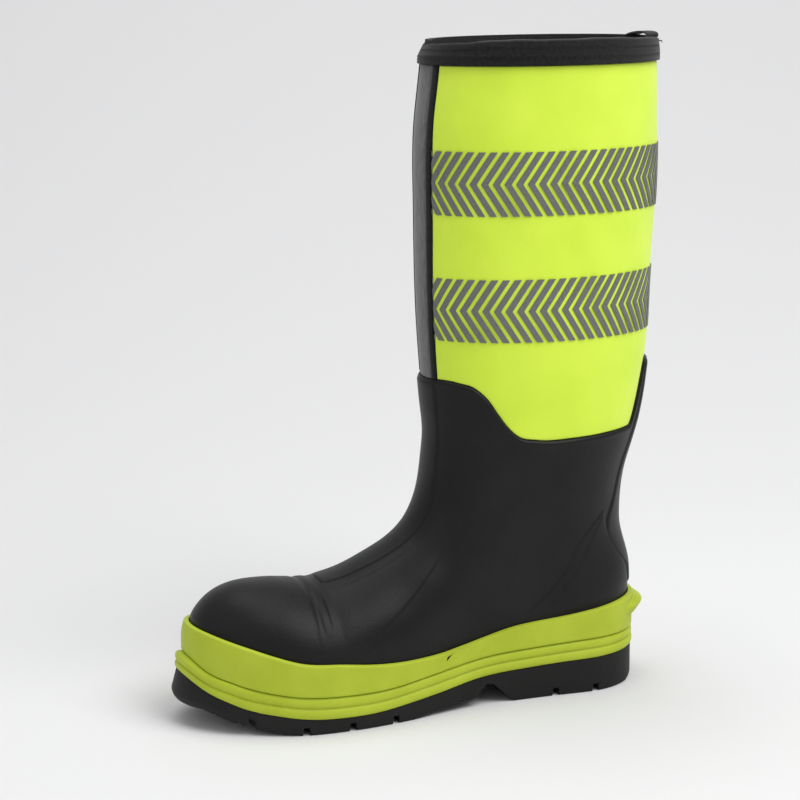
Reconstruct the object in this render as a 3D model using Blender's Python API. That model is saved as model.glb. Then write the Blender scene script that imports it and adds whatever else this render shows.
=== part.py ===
"""Tall left-foot safety boot for fire crews: neoprene shaft, rubber foot, steel cap, lugged sole.

Metres.  +Z is up, the toe points to -Y and the wearer's outer (lateral) side is +X.  The origin
lies on the ground, in the middle of the whole boot's outline.

The upper is one smooth surface that depends on two parameters.  u runs from 0 at the sole edge
to 1 at the collar.  v runs once around the boot: 0 down the front, 0.25 on the lateral side,
0.5 down the back and 0.75 on the medial side.  Every layer of the upper is a closed shell
between two distances from that surface, over its own patch of u and v.
"""

import math

import bpy
import numpy as np
from mathutils import Matrix, Vector

# ------------------------------------------------------------------ overall sizes
SOLE_LENGTH = 0.300
BOOT_HEIGHT = 0.4065
SHAFT_DEPTH = 0.1545
CALF_OVERHANG = 0.018
BALL_WIDTH = 0.097
TOE_WIDTH = 0.100
WAIST_WIDTH = 0.070
HEEL_WIDTH = 0.074
ANKLE_WIDTH = 0.082
CALF_WIDTH = 0.1065
TOE_BOX_HEIGHT = 0.083
TOE_WALL = 0.012
HEEL_WALL = 0.004
TOE_ROUNDING = 0.072
TOE_TOP_ROUNDING = 0.042
HEEL_ROUNDING = 0.040
OUTLINE_CURVE = 0.006

# ------------------------------------------------------------------ layers of the upper
GAP = 0.0003
LAYER_GAP = 0.0005
FACING = 0.0008
FOAM = 0.0040
LINING = 0.0012
RUBBER = 0.0024
OVERLAY = 0.0010
RAND = 0.0027
TAPE = 0.0003
PIPING_RISE = 0.0009
STEEL_CAP = 0.0018
STIFFENER = 0.0015

# ------------------------------------------------------------------ heights of edges and bands
RUBBER_FRONT_TOP = 0.201
RUBBER_SIDE_TOP = 0.165
RUBBER_BACK_TOP = 0.207
BINDING_HEIGHT = 0.0155
BINDING = 0.0011
BAND_WIDTH = 0.038
LOWER_BAND_PLACE = 0.235
UPPER_BAND_PLACE = 0.635
CAP_SEAM_BEHIND_TOE = 0.079
CAP_STRIP_WIDTH = 0.008
CAP_LENGTH = 0.066
CAP_EDGE_FOAM = 0.008
COUNTER_HEIGHT = 0.112
STIFFENER_HEIGHT = 0.078

# ------------------------------------------------------------------ pull loop
LOOP_SPAN = 0.034
LOOP_RISE = 0.0048
LOOP_WIDTH = 0.0086
LOOP_THICKNESS = 0.0014

# ------------------------------------------------------------------ sole
TOE_SPRING = 0.012
BUMPER_SIDE = 0.0055
BUMPER_TOE = 0.0095
BUMPER_GROOVE = 0.0012
OUTSOLE_SIDE = 0.0045
LUG_DEPTH = 0.0045
LUG_GROOVE = 0.0034
BOARD = 0.0020
PLATE = 0.0011
SHANK = 0.0012
SHANK_LENGTH = 0.085
SHANK_WIDTH = 0.016
FOOTBED = 0.0050
FOOTBED_CLEARANCE = 0.0045
SPUR_REACH = 0.009
SPUR_WIDTH = 0.046
SPUR_HEIGHT = 0.011

# ------------------------------------------------------------------ mesh fineness
FINE_U = 0.003
FINE_V = 0.006

# ------------------------------------------------------------------ places that follow from the sizes
TOE_Y = -SOLE_LENGTH / 2
HEEL_Y = SOLE_LENGTH / 2
NOSE_Y = TOE_Y + TOE_WALL
BACK_Y = HEEL_Y - HEEL_WALL
CALF_Y = BACK_Y + CALF_OVERHANG
SHIN_Y = CALF_Y - SHAFT_DEPTH
FRONT_RUN = SHIN_Y - NOSE_Y
SHAFT_RUN = BOOT_HEIGHT - RUBBER_FRONT_TOP
LAYER_TOP = BOOT_HEIGHT - BINDING - GAP
BINDING_EDGE = BOOT_HEIGHT - BINDING_HEIGHT
CAP_SEAM_Y = TOE_Y + CAP_SEAM_BEHIND_TOE
FOAM_OUT = -FACING - LAYER_GAP
LINING_OUT = FOAM_OUT - FOAM - 1.4 * LAYER_GAP
RUBBER_OUT = RUBBER - FACING
OVERLAY_IN = RUBBER_OUT + LAYER_GAP + GAP
HIDDEN_OUT = -FACING - LAYER_GAP - GAP
HIDDEN_ROOM = STEEL_CAP + LAYER_GAP + 3 * GAP


# ------------------------------------------------------------------ curves
def through(stations, values, at):
    """Smooth curve through values at stations: cubic pieces whose end slopes are shared."""
    t = np.asarray(stations, float)
    x = np.asarray(values, float).reshape(len(t), -1)
    q = np.clip(np.asarray(at, float), t[0], t[-1])
    step = np.diff(t)[:, None]
    slope = np.diff(x, axis=0) / step
    shared = (slope[:-1] * step[1:] + slope[1:] * step[:-1]) / (step[1:] + step[:-1])
    m = np.vstack([slope[:1], shared, slope[-1:]])
    i = np.clip(np.searchsorted(t, q, side="right") - 1, 0, len(t) - 2)
    w = ((q - t[i]) / step[i, 0])[..., None]
    h = step[i]
    low = (2 * w**3 - 3 * w**2 + 1) * x[i] + (w**3 - 2 * w**2 + w) * h * m[i]
    high = (3 * w**2 - 2 * w**3) * x[i + 1] + (w**3 - w**2) * h * m[i + 1]
    out = low + high
    return out[..., 0] if np.ndim(values) == 1 else out


def line_through(points, count=480):
    """Polyline of count points, evenly spaced along the smooth curve through the points."""
    p = np.asarray(points, float)
    run = np.r_[0.0, np.cumsum(np.hypot(*np.diff(p, axis=0).T))]
    return through(run, p, np.linspace(0, run[-1], count))


def even(points, count):
    """The same polyline with count points, spaced evenly along its length."""
    run = np.r_[0.0, np.cumsum(np.hypot(*np.diff(points, axis=0).T))]
    at = np.linspace(0, run[-1], count)
    return np.stack([np.interp(at, run, points[:, 0]), np.interp(at, run, points[:, 1])], 1)


def ease(low, high, x):
    """0 below low, 1 above high, with a smooth S between."""
    t = np.clip((x - low) / (high - low), 0, 1)
    return t * t * (3 - 2 * t)


def nearest(y, z, line):
    """Distance from each (y, z) to a polyline, and the height of the nearest point on it."""
    a, b = line[:-1], line[1:]
    ab = b - a
    p = np.stack([y, z], -1).reshape(-1, 1, 2)
    t = np.clip(((p - a) * ab).sum(2) / (ab * ab).sum(1), 0, 1)
    foot = a + t[..., None] * ab
    gap = np.hypot(p[..., 0] - foot[..., 0], p[..., 1] - foot[..., 1])
    best = gap.argmin(1)
    rows = np.arange(len(best))
    return gap[rows, best].reshape(np.shape(y)), foot[rows, best, 1].reshape(np.shape(y))


# ------------------------------------------------------------------ side profile
def shaft_z(part):
    """Height of a point at this share of the way from the rubber's front edge to the rim."""
    return RUBBER_FRONT_TOP + part * SHAFT_RUN


TOP_LINE = line_through([
    (NOSE_Y - 0.052, TOE_BOX_HEIGHT + 0.009), (NOSE_Y - 0.012, TOE_BOX_HEIGHT + 0.008),
    (NOSE_Y + 0.12 * FRONT_RUN, TOE_BOX_HEIGHT + 0.007), (NOSE_Y + 0.33 * FRONT_RUN, TOE_BOX_HEIGHT),
    (NOSE_Y + 0.50 * FRONT_RUN, TOE_BOX_HEIGHT - 0.0035),
    (NOSE_Y + 0.75 * FRONT_RUN, TOE_BOX_HEIGHT + 0.0075),
    (NOSE_Y + 0.95 * FRONT_RUN, TOE_BOX_HEIGHT + 0.0275), (SHIN_Y + 0.0060, 0.160),
    (SHIN_Y + 0.0030, shaft_z(0)), (SHIN_Y + 0.0010, shaft_z(0.14)), (SHIN_Y - 0.0005, shaft_z(0.48)),
    (SHIN_Y, shaft_z(0.73)), (SHIN_Y + 0.0045, shaft_z(0.92)), (SHIN_Y + 0.0062, shaft_z(1))])
BACK_LINE = line_through([
    (BACK_Y - 0.001, 0.010), (BACK_Y, 0.040), (BACK_Y, 0.075), (BACK_Y - 0.0065, 0.105),
    (BACK_Y - 0.0040, 0.135), (BACK_Y + 0.0070, 0.170), (BACK_Y + 0.0120, shaft_z(0)),
    (BACK_Y + 0.0155, shaft_z(0.29)), (CALF_Y + 0.001, shaft_z(0.58)), (CALF_Y, shaft_z(0.92)),
    (CALF_Y - 0.001, shaft_z(1))])


def station(y):
    """-1 at the tip of the toe, 1 at the back of the heel."""
    return y / (SOLE_LENGTH / 2)


def feather_z(y):
    """Height of the upper's bottom edge, which follows the last's toe spring and heel lift."""
    return through([-0.92, -0.885, -0.80, -0.63, -0.32, 0, 0.2, 0.4, 0.73, 1],
                   [0.0375, 0.0320, 0.0265, 0.0210, 0.0175, 0.0215, 0.0255, 0.0278, 0.0297, 0.030],
                   station(y))


def sidewall_bottom_z(y):
    """Where the coloured bumper meets the black outsole."""
    return through([-0.92, -0.885, -0.80, -0.63, -0.32, 0, 0.2, 0.47, 0.73, 1],
                   [0.0320, 0.0262, 0.0185, 0.0118, 0.0087, 0.0135, 0.0181, 0.0205, 0.022, 0.0226],
                   station(y))


def groove_z(y):
    """The groove between the bumper and the rand."""
    return through([-0.92, -0.885, -0.80, -0.63, -0.36, -0.19, 0, 0.22, 0.52, 0.75, 1],
                   [0.0424, 0.0368, 0.0312, 0.0250, 0.0220, 0.0225, 0.0263, 0.0305, 0.0330, 0.0345, 0.0340],
                   station(y))


def rand_top_z(y):
    """The rand's upper edge."""
    return through([-1, -0.93, -0.77, -0.67, -0.57, -0.41, -0.12, 0.03, 0.21, 0.36, 0.62, 0.85, 1],
                   [0.0610, 0.0600, 0.0535, 0.0485, 0.0440, 0.0413, 0.0373, 0.0383, 0.0426, 0.0472,
                    0.0510, 0.0555, 0.0570], station(y))


def ground_z(y):
    """The outsole's underside: toe spring, flat tread, arch, heel breast, flat heel."""
    run = [-0.92, -0.82, -0.70, -0.58, -0.10, 0, 0.22, 0.265, 0.31, 0.37, 0.92, 0.973]
    rise = [TOE_SPRING, 0.54 * TOE_SPRING, 0.18 * TOE_SPRING, 0, 0, 0.003, 0.0055, 0.013, 0.013,
            0, 0, 0.0025]
    return np.interp(station(y), run, rise)


def foot_half(y):
    """Half the upper's width at the sole edge, before the toe and the heel are rounded."""
    return through([-1, -0.73, -0.50, -0.32, -0.07, 0.20, 0.47, 0.73, 1],
                   [0.44 * TOE_WIDTH, 0.48 * TOE_WIDTH, 0.5 * TOE_WIDTH, 0.5 * BALL_WIDTH,
                    0.5 * WAIST_WIDTH + 0.0065, 0.5 * WAIST_WIDTH, 0.5 * WAIST_WIDTH, 0.5 * HEEL_WIDTH,
                    0.5 * HEEL_WIDTH + 0.0005], station(y))


def shaft_half(z):
    """Half the shaft's width at height z."""
    return through([0, 0.060, 0.110, 0.160, shaft_z(0.05), shaft_z(0.48), shaft_z(1)],
                   [0.5 * HEEL_WIDTH, 0.5 * HEEL_WIDTH, 0.5 * ANKLE_WIDTH, 0.5 * ANKLE_WIDTH + 0.004,
                    0.5 * CALF_WIDTH - 0.0035, 0.5 * CALF_WIDTH - 0.0015, 0.5 * CALF_WIDTH], z)


def fullness(y, z):
    """Share of the full width at (y, z): 1 minus the front's, the top's and the back's roundings."""
    top_gap, top_at = nearest(y, z, TOP_LINE)
    back_gap, back_at = nearest(y, z, BACK_LINE)
    half_depth = 0.485 * SHAFT_DEPTH
    top_round = TOE_TOP_ROUNDING + (half_depth - TOE_TOP_ROUNDING) * ease(0.085, 0.230, top_at)
    back_round = HEEL_ROUNDING + (half_depth - HEEL_ROUNDING) * ease(0.060, 0.220, back_at)
    nose = 1 - np.clip((y - NOSE_Y) / TOE_ROUNDING, 0, 1)
    top = 1 - np.clip(top_gap / top_round, 0, 1)
    back = 1 - np.clip(back_gap / back_round, 0, 1)
    return 1 - nose**2.3 - top**2, 1 - back**2


def front_edge():
    """The front of the side view: up the nose, over the cap along fullness 0, up the shin."""
    corner_y = NOSE_Y + TOE_ROUNDING
    corner_z = np.interp(corner_y, TOP_LINE[:, 0], TOP_LINE[:, 1]) - TOE_TOP_ROUNDING
    turn = np.linspace(0, math.pi / 2, 48)
    dy, dz = -np.cos(turn) * TOE_ROUNDING, np.sin(turn) * TOE_TOP_ROUNDING
    low, high = np.full(48, 0.5), np.full(48, 1.6)
    for _ in range(32):
        mid = (low + high) / 2
        y, z = corner_y + dy * mid, corner_z + dz * mid
        over = z > np.interp(y, TOP_LINE[:, 0], TOP_LINE[:, 1])
        outside = (fullness(y, z)[0] < 0) | (y < NOSE_Y) | over
        high = np.where(outside, mid, high)
        low = np.where(outside, low, mid)
    cap = np.stack([corner_y + dy * low, corner_z + dz * low], 1)
    shin = TOP_LINE[TOP_LINE[:, 0] > cap[-1, 0] + 0.0005]
    return even(np.vstack([[(NOSE_Y, feather_z(NOSE_Y))], cap, shin]), 400)


FRONT_EDGE = front_edge()
BACK_EDGE = even(BACK_LINE[BACK_LINE[:, 1] > feather_z(BACK_Y)], 400)


# ------------------------------------------------------------------ the surface
def side_place(u, v):
    """(y, z) of the surface: a ring that drops from the front edge and runs to the back edge."""
    at = np.linspace(0, 1, 400)
    knots = [0, 0.06, 0.12, 0.18, 0.24, 0.30, 0.40, 0.50, 0.60, 1]
    rise = through(knots, [0, 0.02, 0.03, 0.04, 0.053, 0.073, 0.147, 0.29, 0.45, 1], u)
    front = np.stack([np.interp(u, at, FRONT_EDGE[:, 0]), np.interp(u, at, FRONT_EDGE[:, 1])], -1)
    back = np.stack([np.interp(rise, at, BACK_EDGE[:, 0]), np.interp(rise, at, BACK_EDGE[:, 1])], -1)
    s = (1 - np.cos(2 * math.pi * v)) / 2
    drop = through(knots, [1, 1.7, 3.0, 4.3, 4.3, 4.3, 2.2, 1.15, 1, 1], u)
    y = front[..., 0] * (1 - s) + back[..., 0] * s
    z = back[..., 1] + (front[..., 1] - back[..., 1]) * (1 - s) ** drop
    flat = NOSE_Y * (1 - s) + BACK_Y * s
    chord = feather_z(NOSE_Y) * (1 - s) + feather_z(BACK_Y) * s
    sag = (feather_z(flat) - chord) * (1 - np.clip(u / 0.3, 0, 1)) ** 1.5
    return y, z + sag


def centre_x(y, z):
    """The foot's centre line leans to the medial side at the toe; the shaft is straight."""
    lean = through([-1, -0.5, 0, 0.4, 1], [-OUTLINE_CURVE, -0.2 * OUTLINE_CURVE, 0.4 * OUTLINE_CURVE, 0, 0],
                   station(y))
    return lean * (1 - ease(0.060, 0.140, z))


def surface(u, v):
    """Points of the boot's outer surface, for arrays u and v of one shape."""
    u, v = np.broadcast_arrays(np.asarray(u, float), np.asarray(v, float))
    u = np.clip(u, 0, 1)
    y, z = side_place(u, v)
    front, back = fullness(y, z)
    share = ease(0.050, 0.150, z)
    width = foot_half(y) * (1 - share) + shaft_half(z) * share
    half = width * np.sqrt(np.clip(front, 0, None) * np.clip(back, 0, None))
    side = np.sin(2 * math.pi * v)
    side = np.where(np.abs(side) < 1e-9, 0, np.sign(side))
    return np.stack([centre_x(y, z) + side * half, y, z], -1)


def layer(u, v, distance):
    """Points at a distance outside the surface, along its normal."""
    u, v = np.broadcast_arrays(np.asarray(u, float), np.asarray(v, float))
    along = surface(u, v + FINE_V) - surface(u, v - FINE_V)
    up = surface(u + FINE_U, v) - surface(u - FINE_U, v)
    normal = np.cross(along, up)
    normal /= np.linalg.norm(normal, axis=-1, keepdims=True)
    return surface(u, v) + normal * np.asarray(distance)[..., None]


def solve_u(v, below, low=0.0, high=1.0):
    """For each v, the u where below(points) turns from true to false, by halving."""
    v = np.asarray(v, float)
    low, high = np.full(v.shape, low), np.full(v.shape, high)
    for _ in range(22):
        mid = (low + high) / 2
        under = below(surface(mid, v))
        low = np.where(under, mid, low)
        high = np.where(under, high, mid)
    return (low + high) / 2


def u_at_height(v, height):
    """u where the surface reaches a height, which may be one value for each v."""
    return solve_u(v, lambda p: p[..., 2] < height)


def u_at_line(v, line, shift=0.0):
    """u where the surface reaches a line z = line(y) + shift."""
    return solve_u(v, lambda p: p[..., 2] < line(p[..., 1]) + shift, 0.0, 0.6)


def u_at_station(v, y, high=0.32):
    """u where the surface, going up over the cap, passes y."""
    return solve_u(v, lambda p: p[..., 1] < y, 0.0, high)


def fold(v):
    """v folded onto the lateral half: 0 at the front, 0.5 at the back."""
    v = np.mod(v, 1.0)
    return np.minimum(v, 1 - v)


def rubber_top(v):
    """Height of the rubber's top edge: high in front and behind, low at both sides."""
    f = fold(v)
    side = through([0, 0.095, 0.12, 0.142, 0.157, 0.174, 0.19, 0.22, 0.30, 0.39, 0.5],
                   [1, 0.985, 0.92, 0.72, 0.48, 0.24, 0.09, 0.01, 0, 0.02, 0.03], f)
    front = RUBBER_SIDE_TOP + (RUBBER_FRONT_TOP - RUBBER_SIDE_TOP) * side
    return front + (RUBBER_BACK_TOP - front) * ease(0.398, 0.428, f)


# ------------------------------------------------------------------ objects
def material(name, colour, roughness, metallic=0.0):
    mat = bpy.data.materials.new(name)
    mat.use_nodes = True
    shader = mat.node_tree.nodes["Principled BSDF"]
    shader.inputs["Base Color"].default_value = (*colour, 1)
    shader.inputs["Roughness"].default_value = roughness
    shader.inputs["Metallic"].default_value = metallic
    return mat


def add(name, points, faces, mat):
    mesh = bpy.data.meshes.new(name)
    corners = np.asarray(points, float).reshape(-1, 3)
    mesh.from_pydata([tuple(p) for p in corners], [], [tuple(f) for f in faces])
    mesh.update()
    mesh.shade_smooth()
    mesh.set_sharp_from_angle(angle=math.radians(35))
    mesh.materials.append(material(name, *mat))
    obj = bpy.data.objects.new(name, mesh)
    bpy.context.collection.objects.link(obj)
    return obj


def shell_faces(rows, cols, ring):
    """Faces between an outer grid (first rows*cols points) and an inner grid (the next)."""
    count = rows * cols
    spans = cols if ring else cols - 1
    faces = []
    for i in range(rows - 1):
        for j in range(spans):
            k = (j + 1) % cols
            a, b, c, d = i * cols + j, i * cols + k, (i + 1) * cols + k, (i + 1) * cols + j
            faces += [(a, b, c), (a, c, d)]
            faces += [(c + count, b + count, a + count), (d + count, c + count, a + count)]
    top = (rows - 1) * cols
    for j in range(spans):
        k = (j + 1) % cols
        faces += [(k, j, j + count, k + count), (top + j, top + k, top + k + count, top + j + count)]
    if not ring:
        for i in range(rows - 1):
            a, b = i * cols, (i + 1) * cols
            faces += [(a, b, b + count, a + count), (b + cols - 1, a + cols - 1, a + cols - 1 + count,
                                                     b + cols - 1 + count)]
    return faces


def shell(name, u, v, inner, outer, mat, ring=False):
    """Closed shell over a grid of u and v between two distances from the surface."""
    u, v = np.broadcast_arrays(u, v)
    inner, outer = np.broadcast_to(inner, u.shape), np.broadcast_to(outer, u.shape)
    points = np.vstack([layer(u, v, outer).reshape(-1, 3), layer(u, v, inner).reshape(-1, 3)])
    return add(name, points, shell_faces(*u.shape, ring), mat)


def between(low, high, rows):
    """Grid whose rows run from the array low to the array high; rows is a count or the shares."""
    shares = np.linspace(0, 1, rows) if np.isscalar(rows) else np.asarray(rows, float)
    return low + (high - low) * shares[:, None]


def hidden_room(u, v):
    """Extra depth left between the rubber and the foam for the steel cap and the stiffener."""
    y, z = side_place(np.clip(u, 0, 1), v)
    cap = 1 - ease(CAP_SEAM_Y + 0.010, CAP_SEAM_Y + 0.034, y)
    below = 1 - ease(STIFFENER_HEIGHT, STIFFENER_HEIGHT + 0.025, z)
    heel = ease(BACK_Y - 0.085, BACK_Y - 0.055, y) * below
    return HIDDEN_ROOM * np.maximum(cap, heel)


# ------------------------------------------------------------------ upper
YELLOW = ((0.62, 0.90, 0.05), 0.75)
GREY = ((0.16, 0.155, 0.155), 0.65)
BLACK_CLOTH = ((0.022, 0.022, 0.022), 0.85)
BLACK_RUBBER = ((0.018, 0.018, 0.019), 0.45)
LIME = ((0.42, 0.50, 0.045), 0.5)
SILVER = ((0.20, 0.20, 0.20), 0.4)
STEEL = ((0.55, 0.55, 0.57), 0.35, 1.0)
BOARD_FIBRE = ((0.42, 0.30, 0.17), 0.9)
FOAM_BLACK = ((0.03, 0.03, 0.03), 0.9)
MESH_GREY = ((0.12, 0.12, 0.125), 0.9)

SIDE_COLUMNS = np.array([0.030, 0.060, 0.095, 0.120, 0.142, 0.157, 0.174, 0.190, 0.225, 0.270, 0.315,
                         0.360, 0.385, 0.402, 0.415, 0.430, 0.465])
FOOT_RING = np.r_[0, SIDE_COLUMNS, 0.5, (1 - SIDE_COLUMNS)[::-1]]
SOCK_ROWS = np.array([0.004, 0.05, 0.10, 0.15, 0.20, 0.24, 0.28, 0.305, 0.33, 0.355, 0.38, 0.41, 0.44])
FOOT_ROWS = np.array([0.004, 0.03, 0.05, 0.07, 0.09, 0.11, 0.13, 0.15, 0.17, 0.19, 0.21, 0.235, 0.26,
                      0.28, 0.305, 0.33, 0.355, 0.38, 0.41, 0.44])
CAP_COLUMNS = np.array([-0.15, -0.138, -0.12, -0.095, -0.06, -0.03, 0, 0.03, 0.06, 0.095, 0.12,
                        0.138, 0.15])
RAND_RING = np.r_[0, SIDE_COLUMNS[:6], np.arange(0.18, 0.37, 0.03), 0.39, 0.415, 0.44, 0.47]
RAND_RING = np.r_[RAND_RING, 0.5, (1 - RAND_RING[1:])[::-1]]
STRIP_V = 0.030
PIPE_V = 0.046
BACK_V = 0.489
SEAM_V = 0.0006


def inner_layers():
    """The foam sock and the lining inside it: two full-height tubes open at the sole and collar."""
    middle = u_at_height(FOOT_RING, rubber_top(FOOT_RING))
    top = u_at_height(FOOT_RING, LAYER_TOP)
    low = np.repeat(SOCK_ROWS[:, None], len(FOOT_RING), axis=1)
    u = np.vstack([low, between(low[-1], middle, 5)[1:], between(middle, top, 5)[1:]])
    v = np.broadcast_to(FOOT_RING, u.shape)
    room = hidden_room(u, v)
    shell("neoprene_bootie", u, v, FOAM_OUT - FOAM - room, FOAM_OUT - room, FOAM_BLACK, True)
    shell("sock_lining", u, v, LINING_OUT - LINING - room, LINING_OUT - room, MESH_GREY, True)


def shaft_panel(name, v, mat, lift=0.0, top=LAYER_TOP):
    """A facing piece from the rubber's top edge up to a height, over columns v."""
    low = u_at_height(v, rubber_top(v) + GAP)
    high = u_at_height(v, np.full(v.shape, top))
    shell(name, between(low, high, 5), np.broadcast_to(v, (5, len(v))), -FACING, lift, mat)


def shaft():
    under_binding = BINDING_EDGE - GAP
    side = np.r_[PIPE_V + SEAM_V, SIDE_COLUMNS[1:], BACK_V - SEAM_V]
    pipe = np.linspace(STRIP_V + SEAM_V, PIPE_V - SEAM_V, 4)
    shaft_panel("shin_strip", np.linspace(-STRIP_V, STRIP_V, 3), GREY)
    shaft_panel("lateral_shaft_panel", side, YELLOW)
    shaft_panel("medial_shaft_panel", (1 - side)[::-1], YELLOW)
    rise = PIPING_RISE * np.array([0.4, 1, 1, 0.4])
    back = np.linspace(BACK_V + SEAM_V, 1 - BACK_V - SEAM_V, 4)
    shaft_panel("lateral_piping", pipe, BLACK_CLOTH, rise, under_binding)
    shaft_panel("medial_piping", (1 - pipe)[::-1], BLACK_CLOTH, rise[::-1], under_binding)
    shaft_panel("back_seam_tape", back, BLACK_CLOTH, rise * 0.6, under_binding)
    reach = BINDING_EDGE - RUBBER_FRONT_TOP
    for label, place in (("lower", LOWER_BAND_PLACE), ("upper", UPPER_BAND_PLACE)):
        middle = RUBBER_FRONT_TOP + place * reach
        for side_name, v in (("lateral", side), ("medial", (1 - side)[::-1])):
            low = u_at_height(v, middle - BAND_WIDTH / 2)
            high = u_at_height(v, middle + BAND_WIDTH / 2)
            grid_v = np.broadcast_to(v, (4, len(v)))
            grid_u = between(low, high, 4)
            shell(f"{label}_band_{side_name}", grid_u, grid_v, LAYER_GAP, LAYER_GAP + TAPE, SILVER)


def collar_binding():
    """Folded tape over the rim: a U-shaped section carried round the collar."""
    near, deep = 2 * GAP, LINING_OUT - LINING - 2 * GAP
    shoulder = BOOT_HEIGHT - 0.001
    section = [(near + BINDING, BINDING_EDGE), (near + BINDING, shoulder), (BINDING * 0.3, BOOT_HEIGHT),
               (deep - BINDING * 0.3, BOOT_HEIGHT), (deep - BINDING, shoulder),
               (deep - BINDING, BINDING_EDGE + 0.001), (deep, BINDING_EDGE + 0.001),
               (deep, LAYER_TOP + GAP), (near, LAYER_TOP + GAP), (near, BINDING_EDGE)]
    loops = []
    cols = len(FOOT_RING)
    for distance, height in section:
        u = u_at_height(FOOT_RING, np.full(cols, min(height, BOOT_HEIGHT - 0.0005)))
        p = layer(u, FOOT_RING, np.full(cols, distance))
        p[:, 2] = height
        loops.append(p)
    count = len(section)
    faces = []
    for i in range(count):
        k = (i + 1) % count
        for j in range(cols):
            n = (j + 1) % cols
            faces.append((i * cols + j, i * cols + n, k * cols + n, k * cols + j))
    add("collar_binding", np.vstack(loops), faces, BLACK_CLOTH)


def pull_loop():
    """Webbing arch across the back of the rim, both ends sewn down on the binding."""
    turn = np.linspace(0, math.pi, 17)
    middle_y = CALF_Y - 0.001 + 0.5 * (LINING_OUT - LINING)
    base = BOOT_HEIGHT + GAP
    loops = []
    for thick in (LOOP_THICKNESS, 0.0):
        across = (LOOP_SPAN / 2 - LOOP_THICKNESS + thick) * np.cos(turn)
        rise = (LOOP_RISE - LOOP_THICKNESS + thick) * np.sin(turn) ** 0.8
        bow = -0.5 * across**2 / (0.5 * CALF_WIDTH)
        for edge in (-0.5, 0.5):
            loops.append(np.stack([across, middle_y + bow + edge * LOOP_WIDTH, base + rise], 1))
    outer_front, outer_back, inner_front, inner_back = range(4)
    n = len(turn)
    faces = []
    for i in range(n - 1):
        for a, b in ((outer_back, outer_front), (outer_front, inner_front), (inner_front, inner_back),
                     (inner_back, outer_back)):
            faces.append((a * n + i, a * n + i + 1, b * n + i + 1, b * n + i))
    ring = [outer_front * n, outer_back * n, inner_back * n, inner_front * n]
    faces += [tuple(ring[::-1]), tuple(k + n - 1 for k in ring)]
    add("pull_loop", np.vstack(loops), faces, BLACK_CLOTH)


def rubber_foot():
    """The moulded rubber foot, from the sole edge to its shaped top edge."""
    top = u_at_height(FOOT_RING, rubber_top(FOOT_RING))
    low = np.repeat(FOOT_ROWS[:, None], len(FOOT_RING), axis=1)
    u = np.vstack([low, between(low[-1], top, 5)[1:]])
    shell("rubber_foot", u, np.broadcast_to(FOOT_RING, u.shape), -FACING, RUBBER_OUT, BLACK_RUBBER, True)


def cap_patch(front_y, back_y, rows):
    """Grid over the toe between two cross planes; front_y None means down to the rand."""
    v = CAP_COLUMNS
    high = u_at_station(v, back_y)
    low = u_at_line(v, rand_top_z, GAP) if front_y is None else u_at_station(v, front_y)
    low = np.minimum(low, high - 0.012)
    return between(low, high, rows), np.broadcast_to(v, (rows, len(v)))


def overlays():
    """Raised rubber pieces on the foot."""
    u, v = cap_patch(None, CAP_SEAM_Y, 9)
    shell("toe_cap_cover", u, v, OVERLAY_IN, OVERLAY_IN + OVERLAY, BLACK_RUBBER)
    u, v = cap_patch(CAP_SEAM_Y + GAP, CAP_SEAM_Y + CAP_STRIP_WIDTH, 3)
    shell("toe_cap_edge_strip", u, v, OVERLAY_IN, OVERLAY_IN + 0.7 * OVERLAY, BLACK_RUBBER)
    instep_low = u_at_station(np.array([0.0]), CAP_SEAM_Y + CAP_STRIP_WIDTH + 0.003)[0]
    share = np.linspace(0, 1, 16)[:, None]
    half = through([0, 0.25, 0.55, 1], [0.020, 0.030, 0.042, 0.044], share[:, 0])[:, None]
    v = half * np.linspace(-1, 1, 5)[None]
    high = u_at_height(v[-1], rubber_top(v[-1]) - 0.0012)
    u = instep_low + (high - instep_low)[None] * share
    shell("instep_strip", u, v, OVERLAY_IN, OVERLAY_IN + 0.6 * OVERLAY, BLACK_RUBBER)
    vamp_panels(instep_low)
    heel_pieces()


def vamp_panels(start):
    """A panel on each side of the instep, from the cap's strip back to the ankle."""
    share = np.linspace(0, 1, 11)[:, None]
    across = np.linspace(0, 1, 8)[None]
    front_v = through([0, 0.5, 1], [0.036, 0.046, 0.058], share)
    back_v = through([0, 0.25, 0.5, 0.75, 1], [0.190, 0.142, 0.110, 0.099, 0.090], share)
    v = front_v + (back_v - front_v) * across
    behind_cap = u_at_station(v[0], CAP_SEAM_Y + CAP_STRIP_WIDTH + 0.0015)
    first = np.maximum(behind_cap, u_at_line(v[0], rand_top_z, 2 * GAP))
    last = 0.425
    bulge = through([0, 0.25, 0.5, 0.75, 1], [0, 0.045, 0.060, 0.025, 0], share)
    u = first * (1 - share) + last * share + bulge * across
    inner = OVERLAY_IN + GAP
    shell("lateral_vamp_panel", u, v, inner, inner + 0.5 * OVERLAY, BLACK_RUBBER)
    shell("medial_vamp_panel", u[:, ::-1], (1 - v)[:, ::-1], inner, inner + 0.5 * OVERLAY, BLACK_RUBBER)


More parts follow.
